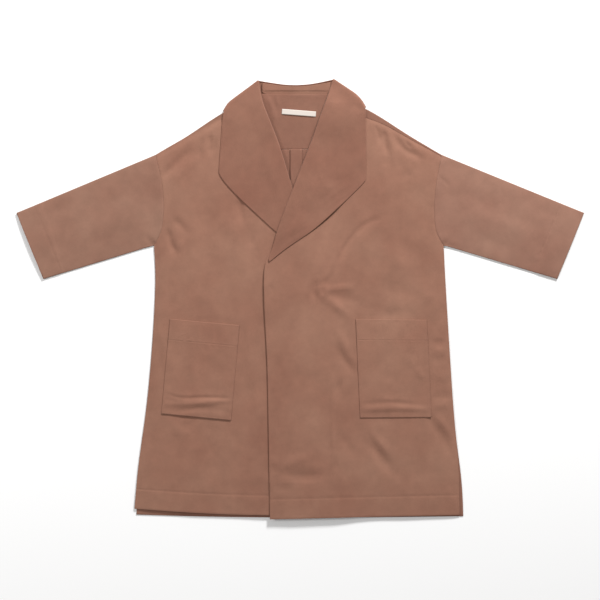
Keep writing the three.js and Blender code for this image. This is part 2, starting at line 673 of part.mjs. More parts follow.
function wrapInward(side, curve, along) {
  const tangent = curve.getTangentAt(along);
  return side === "left" ? [-tangent.y, tangent.x] : [tangent.y, -tangent.x];
}

function wrapWithRoll(side, angleDeg, topRow) {
  const curve = wrapCurve(side);
  const tangent = curve.getTangentAt(1);
  const [inX, inY] = wrapInward(side, curve, 1);
  const angle = THREE.MathUtils.degToRad(angleDeg);
  const inward = [inX * Math.cos(angle), inY * Math.cos(angle), -Math.sin(angle)];
  return withRoll(wrapRow(side, angleDeg, topRow), ROLL_TURN, [tangent.x, tangent.y], inward);
}

function collarBackGrid() {
  return COLLAR_BACK_ROWS.map((row) => {
    const [edge, roll] = [[row.edgeX, row.edgeY], [row.rollX, row.rollY]];
    const [dx, dy] = direction(edge, roll);
    const inset = COLLAR_CLOTH / 2 + ROLL_TURN;
    const flat = shares(COLLAR_COLUMNS).map((share) => {
      const [x, y] = between(edge, [roll[0] - dx * inset, roll[1] - dy * inset], share);
      return node(x, y, COLLAR_CLOTH / 2, COLLAR_CLOTH);
    });
    return withRoll(flat, ROLL_TURN, [dx, dy], [0, 0, 1]);
  });
}

// The collar's rows on a front with the roll turned down along them.
function rolledRows(side, flatRows) {
  return COLLAR_ROWS[side].map((row, i) => {
    const across = direction([row.edgeX, row.edgeY], [row.rollX, row.rollY]);
    return withRoll(flatRows[i], row.turn, across, [0, 0, -1]);
  });
}

function collarGeometry(flatRows) {
  const angles = [90, 45, 0, -45, -90];
  const wrapped = (side) => angles.map((angleDeg) => wrapWithRoll(side, angleDeg, flatRows[side].at(-1)));
  return clothSolid([
    ...rolledRows("right", flatRows.right),
    ...wrapped("right"),
    ...collarBackGrid(),
    ...wrapped("left").reverse(),
    ...rolledRows("left", flatRows.left).reverse(),
  ]);
}

function standGeometry() {
  const low = COLLAR_CLOTH + SEAM + COLLAR_CLOTH / 2;
  const point = (row, share) =>
    node(row.x, lerp(row.seamY, row.rollY, share), low + STAND_RISE * share, COLLAR_CLOTH);
  return clothSolid(shares(2).map((share) => STAND_ROWS.map((row) => point(row, share))));
}

function pocketGeometry(side, front) {
  const { upper, lower } = POCKETS[side];
  const height = upper[0][1] - lower[0][1];
  const bandStart = 1 - POCKET_BAND / height;
  const rows = [
    ...[0, 0.2, 0.4, 0.6, bandStart - HEM_RIDGE / height].map((up) => ({ up, extra: 0 })),
    ...[bandStart, (1 + bandStart) / 2, 1].map((up) => ({ up, extra: HEM_STEP })),
  ];
  const grid = rows.map(({ up, extra }) =>
    shares(6).map((across) => {
      const [x, y] = between(between(...lower, across), between(...upper, across), up);
      return node(x, y, FRONT_HEIGHT[side](x, y) + CLOTH + SEAM + extra / 2, CLOTH + extra);
    }),
  );
  return clothSolid(settle(grid, [front]));
}

function snapGeometry([x, y], front) {
  const disc = new THREE.CylinderGeometry(SNAP.radius, SNAP.radius, SNAP.thickness, 20);
  disc.rotateX(Math.PI / 2);
  return disc.translate(x, y, topOf([front])(x, y) + SEAM + SNAP.thickness / 2);
}

function labelGeometry(yoke) {
  const label = new THREE.BoxGeometry(LABEL.width, LABEL.depth, LABEL.thickness, 4, 1, 1);
  label.rotateZ(THREE.MathUtils.degToRad(LABEL.turnDeg));
  return label.translate(LABEL.x, LABEL.y, topOf([yoke])(LABEL.x, LABEL.y) + SEAM + LABEL.thickness / 2);
}

// ---- assembly ----
const CLOTH_COLOUR = 0x9c725f;
const LABEL_COLOUR = 0xe9e2d8;
const SNAP_COLOUR = 0x8f8a84;
const group = new THREE.Group();
group.name = "kimono_coat";
function add(name, geometry, colour = CLOTH_COLOUR, roughness = 0.95, metalness = 0) {
  const material = new THREE.MeshStandardMaterial({ color: colour, roughness, metalness });
  const mesh = new THREE.Mesh(geometry, material);
  mesh.name = name;
  group.add(mesh);
  return geometry;
}

// Each piece is made on top of those that lie under it.
const back = add("back_panel", backGeometry());
const yoke = add("back_yoke", yokeGeometry(clothSolid(collarBackGrid())));
add("collar_stand", standGeometry());

const frontRight = add("front_right", clothSolid(settle(frontGrid("right"), [back, yoke])));
const lapelRight = settle(collarFrontRows("right"), [frontRight, yoke]);
const lapelUnder = clothSolid(rolledRows("right", lapelRight));
const snaps = Object.entries(SNAP_PLACES).map(([name, place]) =>
  add(`snap_${name}`, snapGeometry(place, frontRight), SNAP_COLOUR, 0.4, 0.8),
);

const underLeft = [back, frontRight, lapelUnder, ...snaps];
const frontLeft = add("front_left", clothSolid(settle(frontGrid("left"), underLeft)));
const lapelLeft = collarFrontRows("left");
// Settled in the order in which the collar's rows run on from the neck: its cells then split the same way.
settle([...lapelLeft].reverse(), [frontLeft, frontRight, yoke]);
add("collar", collarGeometry({ right: lapelRight, left: lapelLeft }));

for (const side of BOTH) add(`sleeve_${side}`, sleeveGeometry(side));
add("pocket_right", pocketGeometry("right", frontRight));
add("pocket_left", pocketGeometry("left", frontLeft));
add("neck_label", labelGeometry(yoke), LABEL_COLOUR, 0.8);

export default group;
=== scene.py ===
"""Kimono coat laid flat on its back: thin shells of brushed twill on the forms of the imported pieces.

Sizes and places are in millimetres, in the coat's own frame: +X to the wearer's left sleeve, +Y to the
collar, +Z up off the table. They turn into metres only where a mesh is stored. The camera, the lights and
the flat sizes of the cloth are in metres.
"""

import math

import bmesh
import bpy
import numpy as np
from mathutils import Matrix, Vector
from mathutils.bvhtree import BVHTree


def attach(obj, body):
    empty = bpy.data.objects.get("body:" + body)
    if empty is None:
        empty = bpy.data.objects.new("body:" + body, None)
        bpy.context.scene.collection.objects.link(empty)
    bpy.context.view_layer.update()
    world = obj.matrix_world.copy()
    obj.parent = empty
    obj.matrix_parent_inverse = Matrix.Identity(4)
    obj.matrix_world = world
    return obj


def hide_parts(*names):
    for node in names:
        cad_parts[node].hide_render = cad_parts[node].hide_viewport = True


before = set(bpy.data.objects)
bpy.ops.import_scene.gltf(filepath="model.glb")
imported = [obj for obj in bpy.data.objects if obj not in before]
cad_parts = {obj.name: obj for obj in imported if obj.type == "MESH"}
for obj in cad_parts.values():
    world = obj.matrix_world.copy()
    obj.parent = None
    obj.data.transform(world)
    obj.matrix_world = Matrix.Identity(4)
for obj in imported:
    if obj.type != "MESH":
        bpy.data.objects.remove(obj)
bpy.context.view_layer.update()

MM = 0.001
SIDES = {"right": -1, "left": 1}  # the wearer's two sides, and which way each lies along X

CLOTH = 1.2  # thickness of the cloth
COLLAR_CLOTH = 1.6  # thickness of the collar, which is double
REST_GAP = 0.12  # air between two sheets that lie on each other
RIM_ANGLE = math.radians(70)  # faces that meet more sharply lie on different sides of a packed wall
SHARP_CORNER = 24  # an outline that turns by more degrees than this keeps its corner
CORNER_HOLD = 0.8  # how firmly it keeps it, from 0 to 1
EDGE_ROUND = 0.42  # how far the edges of a sheet are rounded off
SHORTEST_ROUNDED = 1.6  # edges shorter than this stay sharp

CREASE_DEPTH = 2.3  # all the creases are this many times deeper than their own numbers say
SLEEVE_SHARE = 0.5  # and those on top of the sleeves only this share of that
BODY_LOFT = 2.2  # air under the fronts, which leaves room for their creases
OVERLAP_LOFT = 1.0  # the left front lies this much looser where it covers the right one
FREE_EDGE_LIFT = 0.5  # and springs up a little more along its free edge
LAPEL_LIFT = 1.6  # the lapels spring up from the fronts
LAPEL_ROWS = 13  # rows of the collar's grid that belong to each lapel
ROLL_LIFT = 5.5  # the collar's roll stands this much higher beside the neck

HEM_TOP = -455  # every point of a lower edge is below this
SLIT_TOP = -300  # the side seams are open below this
FRONT_HEM_DEPTH = 44
BACK_HEM_DEPTH = 40
CUFF_STITCHES = {"right": 43, "left": 56}  # how far in from its cuff each sleeve is stitched
POCKET_BAND = 46  # depth of a pocket's turned top hem
POCKET_SEAM = 2.2  # a pocket is sewn down this far in from its edges
PLEAT_MIDDLE = -9  # where the back's pleat lies along X
STITCH_SINK = 0.06  # how far the stitches sink into the cloth
SNAPS = {"outer": (-58, 18), "inner": (50, 17)}
SNAP_TACKS = [(-63, 23), (-57, 15)]  # the tacks that show on the left front beside the outer snap

LABEL_WIDTH = 75.0
LABEL_DEPTH = 11.5
LABEL_THICKNESS = 0.7
LABEL_MIDDLE = (-3.0, 409.0)
LABEL_TURN = math.radians(-4.5)


# ---- creases: soft troughs and ridges, each placed along its own line ----
def trough(path, width, depth):
    return {"path": path, "width": width, "rise": -depth}


def ridge(path, width, height):
    return {"path": path, "width": width, "rise": height}


LEFT_SHOULDER = [
    trough([(184, 368), (189, 322)], 6, 1.3),
    trough([(167, 377), (173, 360), (175, 340)], 5, 0.8),
    ridge([(198, 356), (204, 330), (206, 300)], 7, 0.7),
    trough([(211, 356), (226, 332), (264, 310)], 8, 1.1),
    trough([(232, 346), (246, 330)], 5, 0.7),
    ridge([(180, 296), (184, 256), (180, 216)], 17, 0.8),
    trough([(222, 300), (236, 262)], 16, 0.6),
    trough([(270, 232), (284, 196), (280, 160)], 14, 0.7),
]
RIGHT_SHOULDER = [
    trough([(-198, 360), (-199, 322)], 6, 1.0),
    trough([(-218, 346), (-224, 310)], 6, 0.8),
    trough([(-186, 352), (-190, 300)], 7, 0.7),
    trough([(-246, 324), (-272, 298), (-299, 271)], 9, 1.2),
    ridge([(-238, 300), (-262, 276), (-282, 250)], 9, 0.7),
    trough([(-276, 176), (-264, 162), (-252, 150)], 9, 0.9),
    trough([(-290, 148), (-286, 128), (-277, 104)], 7, 1.4),
    ridge([(-268, 138), (-262, 100)], 10, 0.7),
]
RIGHT_CHEST = [
    trough([(-134, 216), (-128, 172)], 8, 1.1),
    trough([(-112, 156), (-106, 112)], 10, 0.6),
    ridge([(-150, 190), (-142, 130), (-136, 90)], 13, 0.7),
    trough([(-210, 220), (-196, 150), (-202, 80)], 22, 0.7),
    ridge([(-240, 40), (-220, -10)], 20, 0.6),
    trough([(-96, 40), (-102, -60), (-96, -120)], 16, 0.6),
    trough([(-290, 40), (-284, -20)], 14, 0.6),
]
LEFT_CHEST = [
    trough([(170, 176), (138, 161), (110, 131), (88, 92), (73, 47)], 6, 1.0),
    ridge([(176, 158), (146, 142), (121, 112), (103, 76), (96, 46)], 13, 0.35),
    ridge([(58, 20), (88, 24), (118, 26)], 5.5, 1.2),
    ridge([(54, 4), (78, -14), (108, -38)], 8, 1.3),
    trough([(66, 10), (96, 2), (130, -6)], 7, 0.7),
    trough([(34, 36), (28, 18), (34, 0)], 6, 1.2),
    ridge([(42, 40), (58, 52), (66, 74)], 6, 0.8),
    trough([(180, 26), (236, 16)], 24, 0.9),
    trough([(147, -24), (196, -32), (242, -28)], 11, 0.9),
    ridge([(279, 18), (292, -22)], 16, 0.7),
    trough([(240, 120), (262, 70), (258, 20)], 18, 0.7),
    ridge([(206, 110), (220, 60)], 16, 0.6),
]
LEFT_SKIRT = [
    ridge([(82, -66), (98, -104), (116, -140)], 8, 0.9),
    trough([(80, -110), (100, -138), (122, -162)], 8, 1.0),
    trough([(85, -172), (82, -212)], 9, 1.1),
    trough([(93, -308), (116, -338)], 10, 0.9),
    ridge([(72, -176), (71, -260), (73, -380)], 3.5, 0.8),
    trough([(77, -352), (79, -378)], 5, 0.8),
    ridge([(154, -283), (210, -282)], 5, 0.6),
    ridge([(156, -290), (176, -318), (199, -345)], 8, 1.0),
    trough([(148, -308), (176, -346), (214, -388)], 11, 1.3),
    trough([(284, -264), (306, -296), (330, -334)], 10, 1.2),
    ridge([(295, -254), (318, -280), (338, -306)], 7, 0.8),
    ridge([(-34, -366), (-12, -354), (12, -349)], 9, 1.2),
    trough([(-36, -386), (6, -389), (50, -386)], 8, 1.4),
    ridge([(-64, -356), (-46, -362)], 5, 0.9),
    trough([(-62, -372), (-50, -376)], 4, 0.7),
    trough([(-50, -412), (-20, -417)], 7, 0.7),
    trough([(-49, -266), (-50, -293)], 3, 0.6),
    trough([(250, -330), (262, -400)], 20, 0.7),
    ridge([(228, -300), (240, -360)], 14, 0.5),
    trough([(20, -150), (26, -230)], 26, 0.6),
    ridge([(-30, -90), (-22, -170)], 20, 0.5),
]
LEFT_SIDE = [
    trough([(289, -98), (304, -100), (320, -97)], 5, 1.0),
    ridge([(290, -112), (322, -110)], 5, 0.9),
    trough([(293, -134), (306, -136), (320, -132)], 7, 1.0),
    ridge([(296, -170), (324, -168)], 8, 0.7),
    trough([(291, -217), (308, -218), (328, -213)], 7, 1.0),
    ridge([(298, -232), (330, -230)], 6, 0.7),
]
RIGHT_SKIRT = [
    trough([(-266, -280), (-252, -282), (-236, -277)], 5, 0.7),
    ridge([(-280, -290), (-240, -292)], 8, 0.5),
    trough([(-330, -250), (-338, -330)], 12, 0.7),
    trough([(-190, -310), (-196, -390)], 18, 0.6),
    ridge([(-240, -320), (-250, -400)], 18, 0.5),
    trough([(-120, -150), (-112, -250)], 14, 0.6),
    ridge([(-92, -200), (-90, -330)], 14, 0.5),
    trough([(-312, -100), (-306, -160)], 10, 0.6),
]
BODY_CREASES = [
    *LEFT_SHOULDER,
    *RIGHT_SHOULDER,
    *RIGHT_CHEST,
    *LEFT_CHEST,
    *LEFT_SKIRT,
    *LEFT_SIDE,
    *RIGHT_SKIRT,
]
POCKET_CREASES = {
    "right": [
        trough([(-292, -208), (-260, -217), (-210, -216), (-155, -218)], 3.6, 0.8),
        ridge([(-298, -231), (-238, -229), (-155, -223)], 7, 1.1),
        trough([(-284, -249), (-216, -241), (-160, -247)], 6, 0.8),
        trough([(-256, -78), (-250, -92)], 8, 0.8),
        trough([(-216, -104), (-200, -112), (-184, -104)], 8, 0.6),
        ridge([(-240, -130), (-232, -180)], 14, 0.7),
        trough([(-190, -130), (-178, -176)], 13, 0.6),
    ],
    "left": [
        ridge([(137, -243), (210, -240), (282, -242)], 7, 0.8),
        trough([(140, -230), (200, -227), (262, -232)], 5, 0.7),
        trough([(246, -114), (258, -152)], 8, 0.8),
        ridge([(256, -150), (268, -176)], 8, 0.7),
        trough([(174, -192), (210, -218)], 12, 0.8),
        trough([(175, -54), (177, -78)], 6, 0.5),
        trough([(208, -56), (210, -84)], 7, 0.6),
        trough([(236, -54), (238, -80)], 6, 0.5),
    ],
}
SLEEVE_CREASES = {
    "right": [
        trough([(-340, 136), (-332, 128), (-324, 118)], 5, 1.1),
        ridge([(-350, 150), (-334, 112)], 8, 0.8),
        trough([(-330, 250), (-390, 226), (-440, 190)], 17, 0.9),
        ridge([(-350, 200), (-420, 168), (-500, 130)], 22, 0.9),
        trough([(-400, 140), (-470, 112)], 15, 0.8),
        trough([(-500, 210), (-560, 180)], 16, 0.7),
        ridge([(-540, 140), (-580, 110)], 14, 0.5),
    ],
    "left": [
        trough([(306, 269), (315, 260), (325, 252)], 5, 0.9),
        trough([(330, 232), (392, 216), (450, 180)], 17, 0.9),
        ridge([(342, 190), (420, 168), (500, 140)], 22, 0.9),
        trough([(390, 140), (460, 108)], 15, 0.8),
        trough([(500, 216), (566, 176)], 16, 0.7),
        ridge([(330, 130), (352, 108)], 8, 0.7),
    ],
}
COLLAR_CREASES = [
    ridge([(-150, 396), (-158, 340), (-152, 286)], 13, 0.7),
    trough([(-110, 380), (-116, 320), (-104, 250)], 18, 0.7),
    ridge([(-78, 330), (-60, 260), (-40, 210)], 13, 0.5),
    trough([(96, 400), (104, 330), (112, 280)], 16, 0.9),
    ridge([(70, 330), (60, 270), (30, 220)], 14, 0.6),
    ridge([(128, 380), (130, 300)], 9, 0.5),
    trough([(40, 220), (6, 180)], 14, 0.5),
]
YOKE_CREASES = [
    ridge([(-72, 444), (-62, 418), (-56, 396)], 5, 0.9),
    ridge([(-52, 444), (-49, 424)], 4, 0.5),
    ridge([(70, 442), (62, 416), (57, 398)], 5, 0.8),
    ridge([(-20, 446), (10, 447), (38, 445)], 4, 0.25),
]
UNDERSIDE_CREASES = [
    ridge([(-250, 60), (-120, 40), (-60, 52)], 17, 1.0),
    ridge([(70, 30), (160, 48), (250, 36)], 15, 1.0),
    ridge([(-280, 120), (-210, 168), (-150, 190)], 14, 0.9),
    ridge([(268, 130), (210, 172), (140, 204)], 13, 0.9),
    ridge([(-90, -120), (-96, -220), (-84, -330)], 16, 0.9),
    ridge([(120, -90), (132, -210), (122, -300)], 18, 1.0),
    ridge([(-230, -180), (-240, -300)], 20, 0.8),
    ridge([(230, -160), (246, -330)], 17, 0.9),
    ridge([(-400, 180), (-470, 150), (-530, 140)], 15, 0.9),
    ridge([(380, 190), (450, 166), (540, 130)], 16, 0.9),
    ridge([(-360, 140), (-420, 110)], 10, 0.7),
    ridge([(350, 150), (400, 116)], 11, 0.7),
]


def smooth_path(path, steps=8):
    """More points on a soft curve through a few."""
    ends = [path[0], *path, path[-1]]
    curve = []
    for k in range(1, len(ends) - 2):
        a, b, c, d = (np.array(p, float) for p in ends[k - 1 : k + 3])
        for t in np.arange(steps) / steps:
            bend = (2 * a - 5 * b + 4 * c - d) * t**2 + (3 * b - a - 3 * c + d) * t**3
            curve.append(b + (c - a) * t / 2 + bend / 2)
    return np.array([*curve, path[-1]], float)


def nearest_on(path, x, y):
    """Distance from a path to each place, and how far along the path that is, from 0 to 1."""
    nearest = np.full(np.shape(x), np.inf)
    along = np.zeros(np.shape(x))
    spans = np.hypot(*np.diff(path, axis=0).T)
    start = 0.0
    for a, b, span in zip(path, path[1:], spans):
        t = np.clip(((x - a[0]) * (b[0] - a[0]) + (y - a[1]) * (b[1] - a[1])) / span**2, 0, 1)
        distance = np.hypot(x - a[0] - t * (b[0] - a[0]), y - a[1] - t * (b[1] - a[1]))
        closer = distance < nearest
        nearest = np.where(closer, distance, nearest)
        along = np.where(closer, (start + t * span) / spans.sum(), along)
        start += span
    return nearest, along


def fade(value, start, end):
    """0 up to the start, 1 from the end on and even steps between them; the end may be the lower one."""
    return np.clip((value - start) / (end - start), 0, 1)


def clear_of(distance, width):
    """0 on a seam, fold or edge and 1 well away from it, for creases that die away towards it."""
    return 1 - np.exp(-((distance / width) ** 2))


def crease_height(creases, x, y):
    """Height of all the creases together: each is deepest near its middle and uneven along its length."""
    total = np.zeros(np.shape(x))
    for k, crease in enumerate(creases):
        distance, along = nearest_on(smooth_path(crease["path"]), x, y)
        uneven = 0.35 + 0.65 * np.sin(np.pi * along).clip(0) ** 0.8 + 0.12 * np.sin(9 * along + 2.3 * k)
        total += CREASE_DEPTH * crease["rise"] * uneven * np.exp(-((distance / crease["width"]) ** 2))
    return total


def soft_unevenness(x, y, size, seed):
    """Broad, low swells without a direction, from -1 to 1."""
    rng = np.random.default_rng(seed)
    total = np.zeros(np.shape(x))
    for _ in range(9):
        way = rng.uniform(0, 2 * math.pi)
        wave = 2 * math.pi / (size * rng.uniform(0.7, 1.6))
        total += np.sin(wave * (x * math.cos(way) + y * math.sin(way)) + rng.uniform(0, 2 * math.pi))
    return total / 5


# ---- sheets: one side of a packed wall, refined ----
def outer_side(node, upper):
    """One side of a packed wall as an open mesh of its grid's cells: the upper side, or else the larger."""
    mesh = bmesh.new()
    mesh.from_mesh(node.data)
    bmesh.ops.remove_doubles(mesh, verts=mesh.verts, dist=2e-6)
    regions = smooth_regions(mesh)
    regions.sort(key=lambda faces: -sum(face.calc_area() for face in faces))
    if upper:
        regions = sorted(
            regions[:2],
            key=lambda faces: -sum(face.normal.z * face.calc_area() for face in faces),
        )
    kept = set(regions[0])
    bmesh.ops.delete(mesh, geom=[face for face in mesh.faces if face not in kept], context="FACES")
    return mesh


def smooth_regions(mesh):
    """The faces of a closed wall in groups that its rims part from each other."""
    regions = []
    seen = set()
    for first in mesh.faces:
        if first in seen:
            continue
        seen.add(first)
        region = [first]
        for face in region:
            for edge in face.edges:
                if len(edge.link_faces) != 2 or edge.calc_face_angle() > RIM_ANGLE:
                    continue
                for other in edge.link_faces:
                    if other not in seen:
                        seen.add(other)
                        region.append(other)
        regions.append(region)
    return regions


def cell_places(mesh, turn):
    """Places of every triangle's corners in the grid of cells, found from one triangle outwards.

    It isn't known which corner of that first triangle has the right angle, so turn, 0 to 2, is a guess.
    """
    corners = [(0, 0), (0, 1), (1, 1)]
    mesh.faces.ensure_lookup_table()
    first = mesh.faces[0]
    places = {first: {vert: corners[(k + turn) % 3] for k, vert in enumerate(first.verts)}}
    waiting = [first]
    for face in waiting:
        known = places[face]
        for edge in face.edges:
            a, b = edge.verts
            (far,) = set(face.verts) - {a, b}
            for other in edge.link_faces:
                if other in places:
                    continue
                (new,) = set(other.verts) - {a, b}
                place = tuple(known[a][i] + known[b][i] - known[far][i] for i in (0, 1))
                places[other] = {a: known[a], b: known[b], new: place}
                waiting.append(other)
    return places


def diagonals(mesh, places):
    """The edges that split cells into triangles, or none if one of them is on the mesh's own edge."""
    found = []
    for edge in mesh.edges:
        known = places[edge.link_faces[0]]
        a, b = (known[vert] for vert in edge.verts)
        if a[0] == b[0] or a[1] == b[1]:
            continue
        if len(edge.link_faces) < 2:
            return []
        found.append(edge)
    return found


def to_cells(mesh):
    """Joins the triangles of each cell, and writes the corners' places in the grid as a UV map."""
    for turn in range(3):
        places = cell_places(mesh, turn)
        split = diagonals(mesh, places)
        if split:
            break
    layer = mesh.loops.layers.uv.new("cells")
    for face, known in places.items():
        for loop in face.loops:
            loop[layer].uv = known[loop.vert]
    bmesh.ops.dissolve_edges(mesh, edges=split, use_verts=False)


def sharpen_corners(mesh):
    """Keeps the corners of the outline when the mesh is refined."""
    layer = mesh.verts.layers.float.get("crease_vert") or mesh.verts.layers.float.new("crease_vert")
    for vert in mesh.verts:
        rim = [edge for edge in vert.link_edges if edge.is_boundary]
        if len(rim) != 2:
            continue
        a, b = ((edge.other_vert(vert).co - vert.co).normalized() for edge in rim)
        if math.degrees((-a).angle(b)) > SHARP_CORNER:
            vert[layer] = CORNER_HOLD


def fine_sheet(node_name, name, levels, upper=False):
    """The side of a packed wall that shows, as an open sheet of small cells."""
    mesh = outer_side(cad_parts[node_name], upper)
    to_cells(mesh)
    sharpen_corners(mesh)
    sheet = new_object(name, mesh)
    refine = sheet.modifiers.new("refine", "SUBSURF")
    refine.levels = refine.render_levels = levels
    refine.boundary_smooth = "PRESERVE_CORNERS"
    refine.uv_smooth = "NONE"
    apply_modifiers(sheet)
    return sheet


def new_object(name, mesh):
    """A new object in the scene from a bmesh, which is used up."""
    data = bpy.data.meshes.new(name)
    mesh.to_mesh(data)
    mesh.free()
    made = bpy.data.objects.new(name, data)
    bpy.context.scene.collection.objects.link(made)
    return made


def apply_modifiers(piece):
    """Makes what the modifiers of a piece produce its own mesh."""
    bpy.context.view_layer.update()
    evaluated = piece.evaluated_get(bpy.context.evaluated_depsgraph_get())
    data = bpy.data.meshes.new_from_object(evaluated)
    piece.modifiers.clear()
    piece.data = data
    data.name = piece.name


def read(items, field, kind, size):
    """One field of all the vertices, edges or corners of a mesh, in a row for each."""
    flat = np.empty(len(items) * size, kind)
    items.foreach_get(field, flat)
    return flat.reshape(-1, size)


def points(piece):
    """All the points of a mesh, in millimetres."""
    return read(piece.data.vertices, "co", np.float32, 3).astype(float) / MM


def store(piece, places):
    piece.data.vertices.foreach_set("co", (places * MM).astype(np.float32).ravel())
    piece.data.update()


def normals(piece):
    return read(piece.data.vertices, "normal", np.float32, 3).astype(float)


def edges_of(piece):
    return read(piece.data.edges, "vertices", np.int32, 2)


def rim_edges(piece):
    """The edges of an open sheet's outline."""
    pairs = edges_of(piece)
    sides = read(piece.data.loops, "edge_index", np.int32, 1).ravel()
    return pairs[np.bincount(sides, minlength=len(pairs)) == 1]


def cell_numbers(piece):
    """The grid's two numbers at every point of a refined sheet."""
    at = read(piece.data.loops, "vertex_index", np.int32, 1).ravel()
    numbers = np.zeros((len(piece.data.vertices), 2))
    numbers[at] = read(piece.data.uv_layers["cells"].data, "uv", np.float32, 2)
    return numbers - numbers.min(0)


# ---- laying one piece on another ----
def tree_of(*pieces, chosen=None):
    """Sheets or finished pieces as one tree for finding heights: all of each, or only its chosen points."""
    corners = []
    polygons = []
    for piece in pieces:
        start = len(corners)
        corners.extend(points(piece).tolist())
        for face in piece.data.polygons:
            if chosen is None or all(chosen[k] for k in face.vertices):
                polygons.append([start + k for k in face.vertices])
    return BVHTree.FromPolygons(corners, polygons)


def height_over(tree, x, y, start=60.0):
    """Height of the highest surface at each place, or nan where there is none."""
    down = Vector((0, 0, -1))
    found = np.full(len(x), np.nan)
    for k, (px, py) in enumerate(zip(x.tolist(), y.tolist())):
        hit = tree.ray_cast(Vector((px, py, start)), down)[0]
        if hit is not None:
            found[k] = hit.z
    return found


def settle(piece, below, thickness, share=None, rounds=40):
    """Lifts a sheet until it lies clear of all that is below it, and softly round those places too."""
    places = points(piece)
    floor = np.fmax.reduce([height_over(tree, places[:, 0], places[:, 1]) for tree in below])
    needed = floor + REST_GAP + thickness * np.clip(normals(piece)[:, 2], 0, 1) - places[:, 2]
    lack = np.nan_to_num(needed, nan=0.0).clip(0, None)
    if share is not None:
        lack *= share
    pairs = edges_of(piece)
    count = np.bincount(pairs.ravel(), minlength=len(places))
    lift = lack
    for _ in range(rounds):
        total = np.bincount(pairs[:, 0], lift[pairs[:, 1]], len(places))
        total += np.bincount(pairs[:, 1], lift[pairs[:, 0]], len(places))
        lift = np.maximum(lack, total / count)
    places[:, 2] += lift if share is None else lift * share
    store(piece, places)


def meet(piece, other, chosen, reach, soften):
    """Closes a seam: edge points of one sheet move onto the other's edge, and the cloth near them follows."""
    places = points(piece)
    rim = np.unique(rim_edges(piece))
    rim = rim[chosen(places[rim])]
    theirs = points(other)
    a, b = (theirs[k] for k in rim_edges(other).T)
    way = b - a
    offset = places[rim][:, None] - a[None]
    t = np.clip((offset[..., :2] * way[None, :, :2]).sum(-1) / (way[:, :2] ** 2).sum(-1), 0, 1)
    target = a[None] + t[..., None] * way[None]
    distance = np.hypot(*(target - places[rim][:, None])[..., :2].transpose(2, 0, 1))
    best = distance.argmin(1)
    index = np.arange(len(rim))
    move = target[index, best] - places[rim]
    near = distance[index, best] < reach
    rim, move = rim[near], move[near]
    gap = np.hypot(*(places[:, None, :2] - places[rim][None, :, :2]).transpose(2, 0, 1))
    gap = gap + 1000 * ~chosen(places)[:, None]
    closest = gap.argmin(1)
    share = np.exp(-((gap.min(1) / soften) ** 2))
    places += move[closest] * share[:, None]
    store(piece, places)


def thicken(piece, thickness):
    """Gives a sheet its thickness, inwards from the side that shows, and rounds the edges of its rims."""
    rim = rim_edges(piece)
    count = len(piece.data.vertices)
    wall = piece.modifiers.new("wall", "SOLIDIFY")
    wall.thickness = thickness * MM
    wall.offset = -1
    wall.use_quality_normals = True
    apply_modifiers(piece)
    on_rim = {tuple(sorted(pair)) for pair in np.concatenate([rim, rim + count]).tolist()}
    pairs = edges_of(piece)
    places = points(piece)
    long_enough = np.linalg.norm(places[pairs[:, 0]] - places[pairs[:, 1]], axis=1) > SHORTEST_ROUNDED
    rounded = [tuple(sorted(pair)) in on_rim for pair in pairs.tolist()] & long_enough
    weight = piece.data.attributes.new("bevel_weight_edge", "FLOAT", "EDGE")
    weight.data.foreach_set("value", np.array(rounded, np.float32))
    rounding = piece.modifiers.new("rounding", "BEVEL")
    rounding.width = EDGE_ROUND * MM
    rounding.segments = 2
    rounding.limit_method = "WEIGHT"
    rounding.use_clamp_overlap = False
    apply_modifiers(piece)
    for face in piece.data.polygons:
        face.use_smooth = True


# ---- outlines that several pieces share ----
def rim_line(piece, keep):
    """Points of a sheet's outline that pass a test, sorted by x."""
    places = points(piece)[np.unique(rim_edges(piece))]
    places = places[keep(places)]
    return places[places[:, 0].argsort()]


def hem_height(piece, x, y):
    """Distance above the lower edge of a front or the back."""
    low = rim_line(piece, lambda p: p[:, 1] < HEM_TOP)
    return y - np.interp(x, low[:, 0], low[:, 1])


SLEEVE_FOLDS = (((624, 189.5), (315, 317)), ((564.6, 43.8), (315, 118)))  # upper and lower, cuff to body


def cuff_distance(side, x, y):
    """Distance in from the edge of a cuff."""
    top, low = (np.array([SIDES[side] * fold[0][0], fold[0][1]]) for fold in SLEEVE_FOLDS)
    along = (low - top) / np.linalg.norm(low - top)
    return np.abs((x - top[0]) * along[1] - (y - top[1]) * along[0])


def groove(distance, width, depth):
    """A soft groove along a line, from the distance to it; a negative depth makes a low ridge."""
    return -depth * np.exp(-((distance / width) ** 2))


def puckers(along, distance, width, height, pitch):
    """Small uneven puckers beside a line of stitches."""
    wave = np.sin(2 * math.pi * along / pitch) + 0.6 * np.sin(2 * math.pi * along / (pitch * 1.7) + 1.3)
    return height * wave * np.exp(-((distance / width) ** 2))


ARMHOLE = {
    "right": [
        *((-322, 118), (-314, 130), (-304, 152), (-300.5, 182), (-299.5, 212)),
        *((-301.5, 237), (-305, 262), (-312, 290), (-318.5, 317)),
    ],
    "left": [
        *((315.5, 118), (306, 130), (297, 152), (294.5, 182), (294.5, 212)),
        *((296.5, 237), (300, 262), (305.5, 290), (311, 317)),
    ],
}


def armhole_groove(side, x, y):
    """The seam round an armhole, with the small puckers that its stitches pull."""
    distance, along = nearest_on(smooth_path(ARMHOLE[side], 4), x, y)
    return groove(distance, 2.6, 0.55) + puckers(along * 210, distance, 7, 0.07, 19)


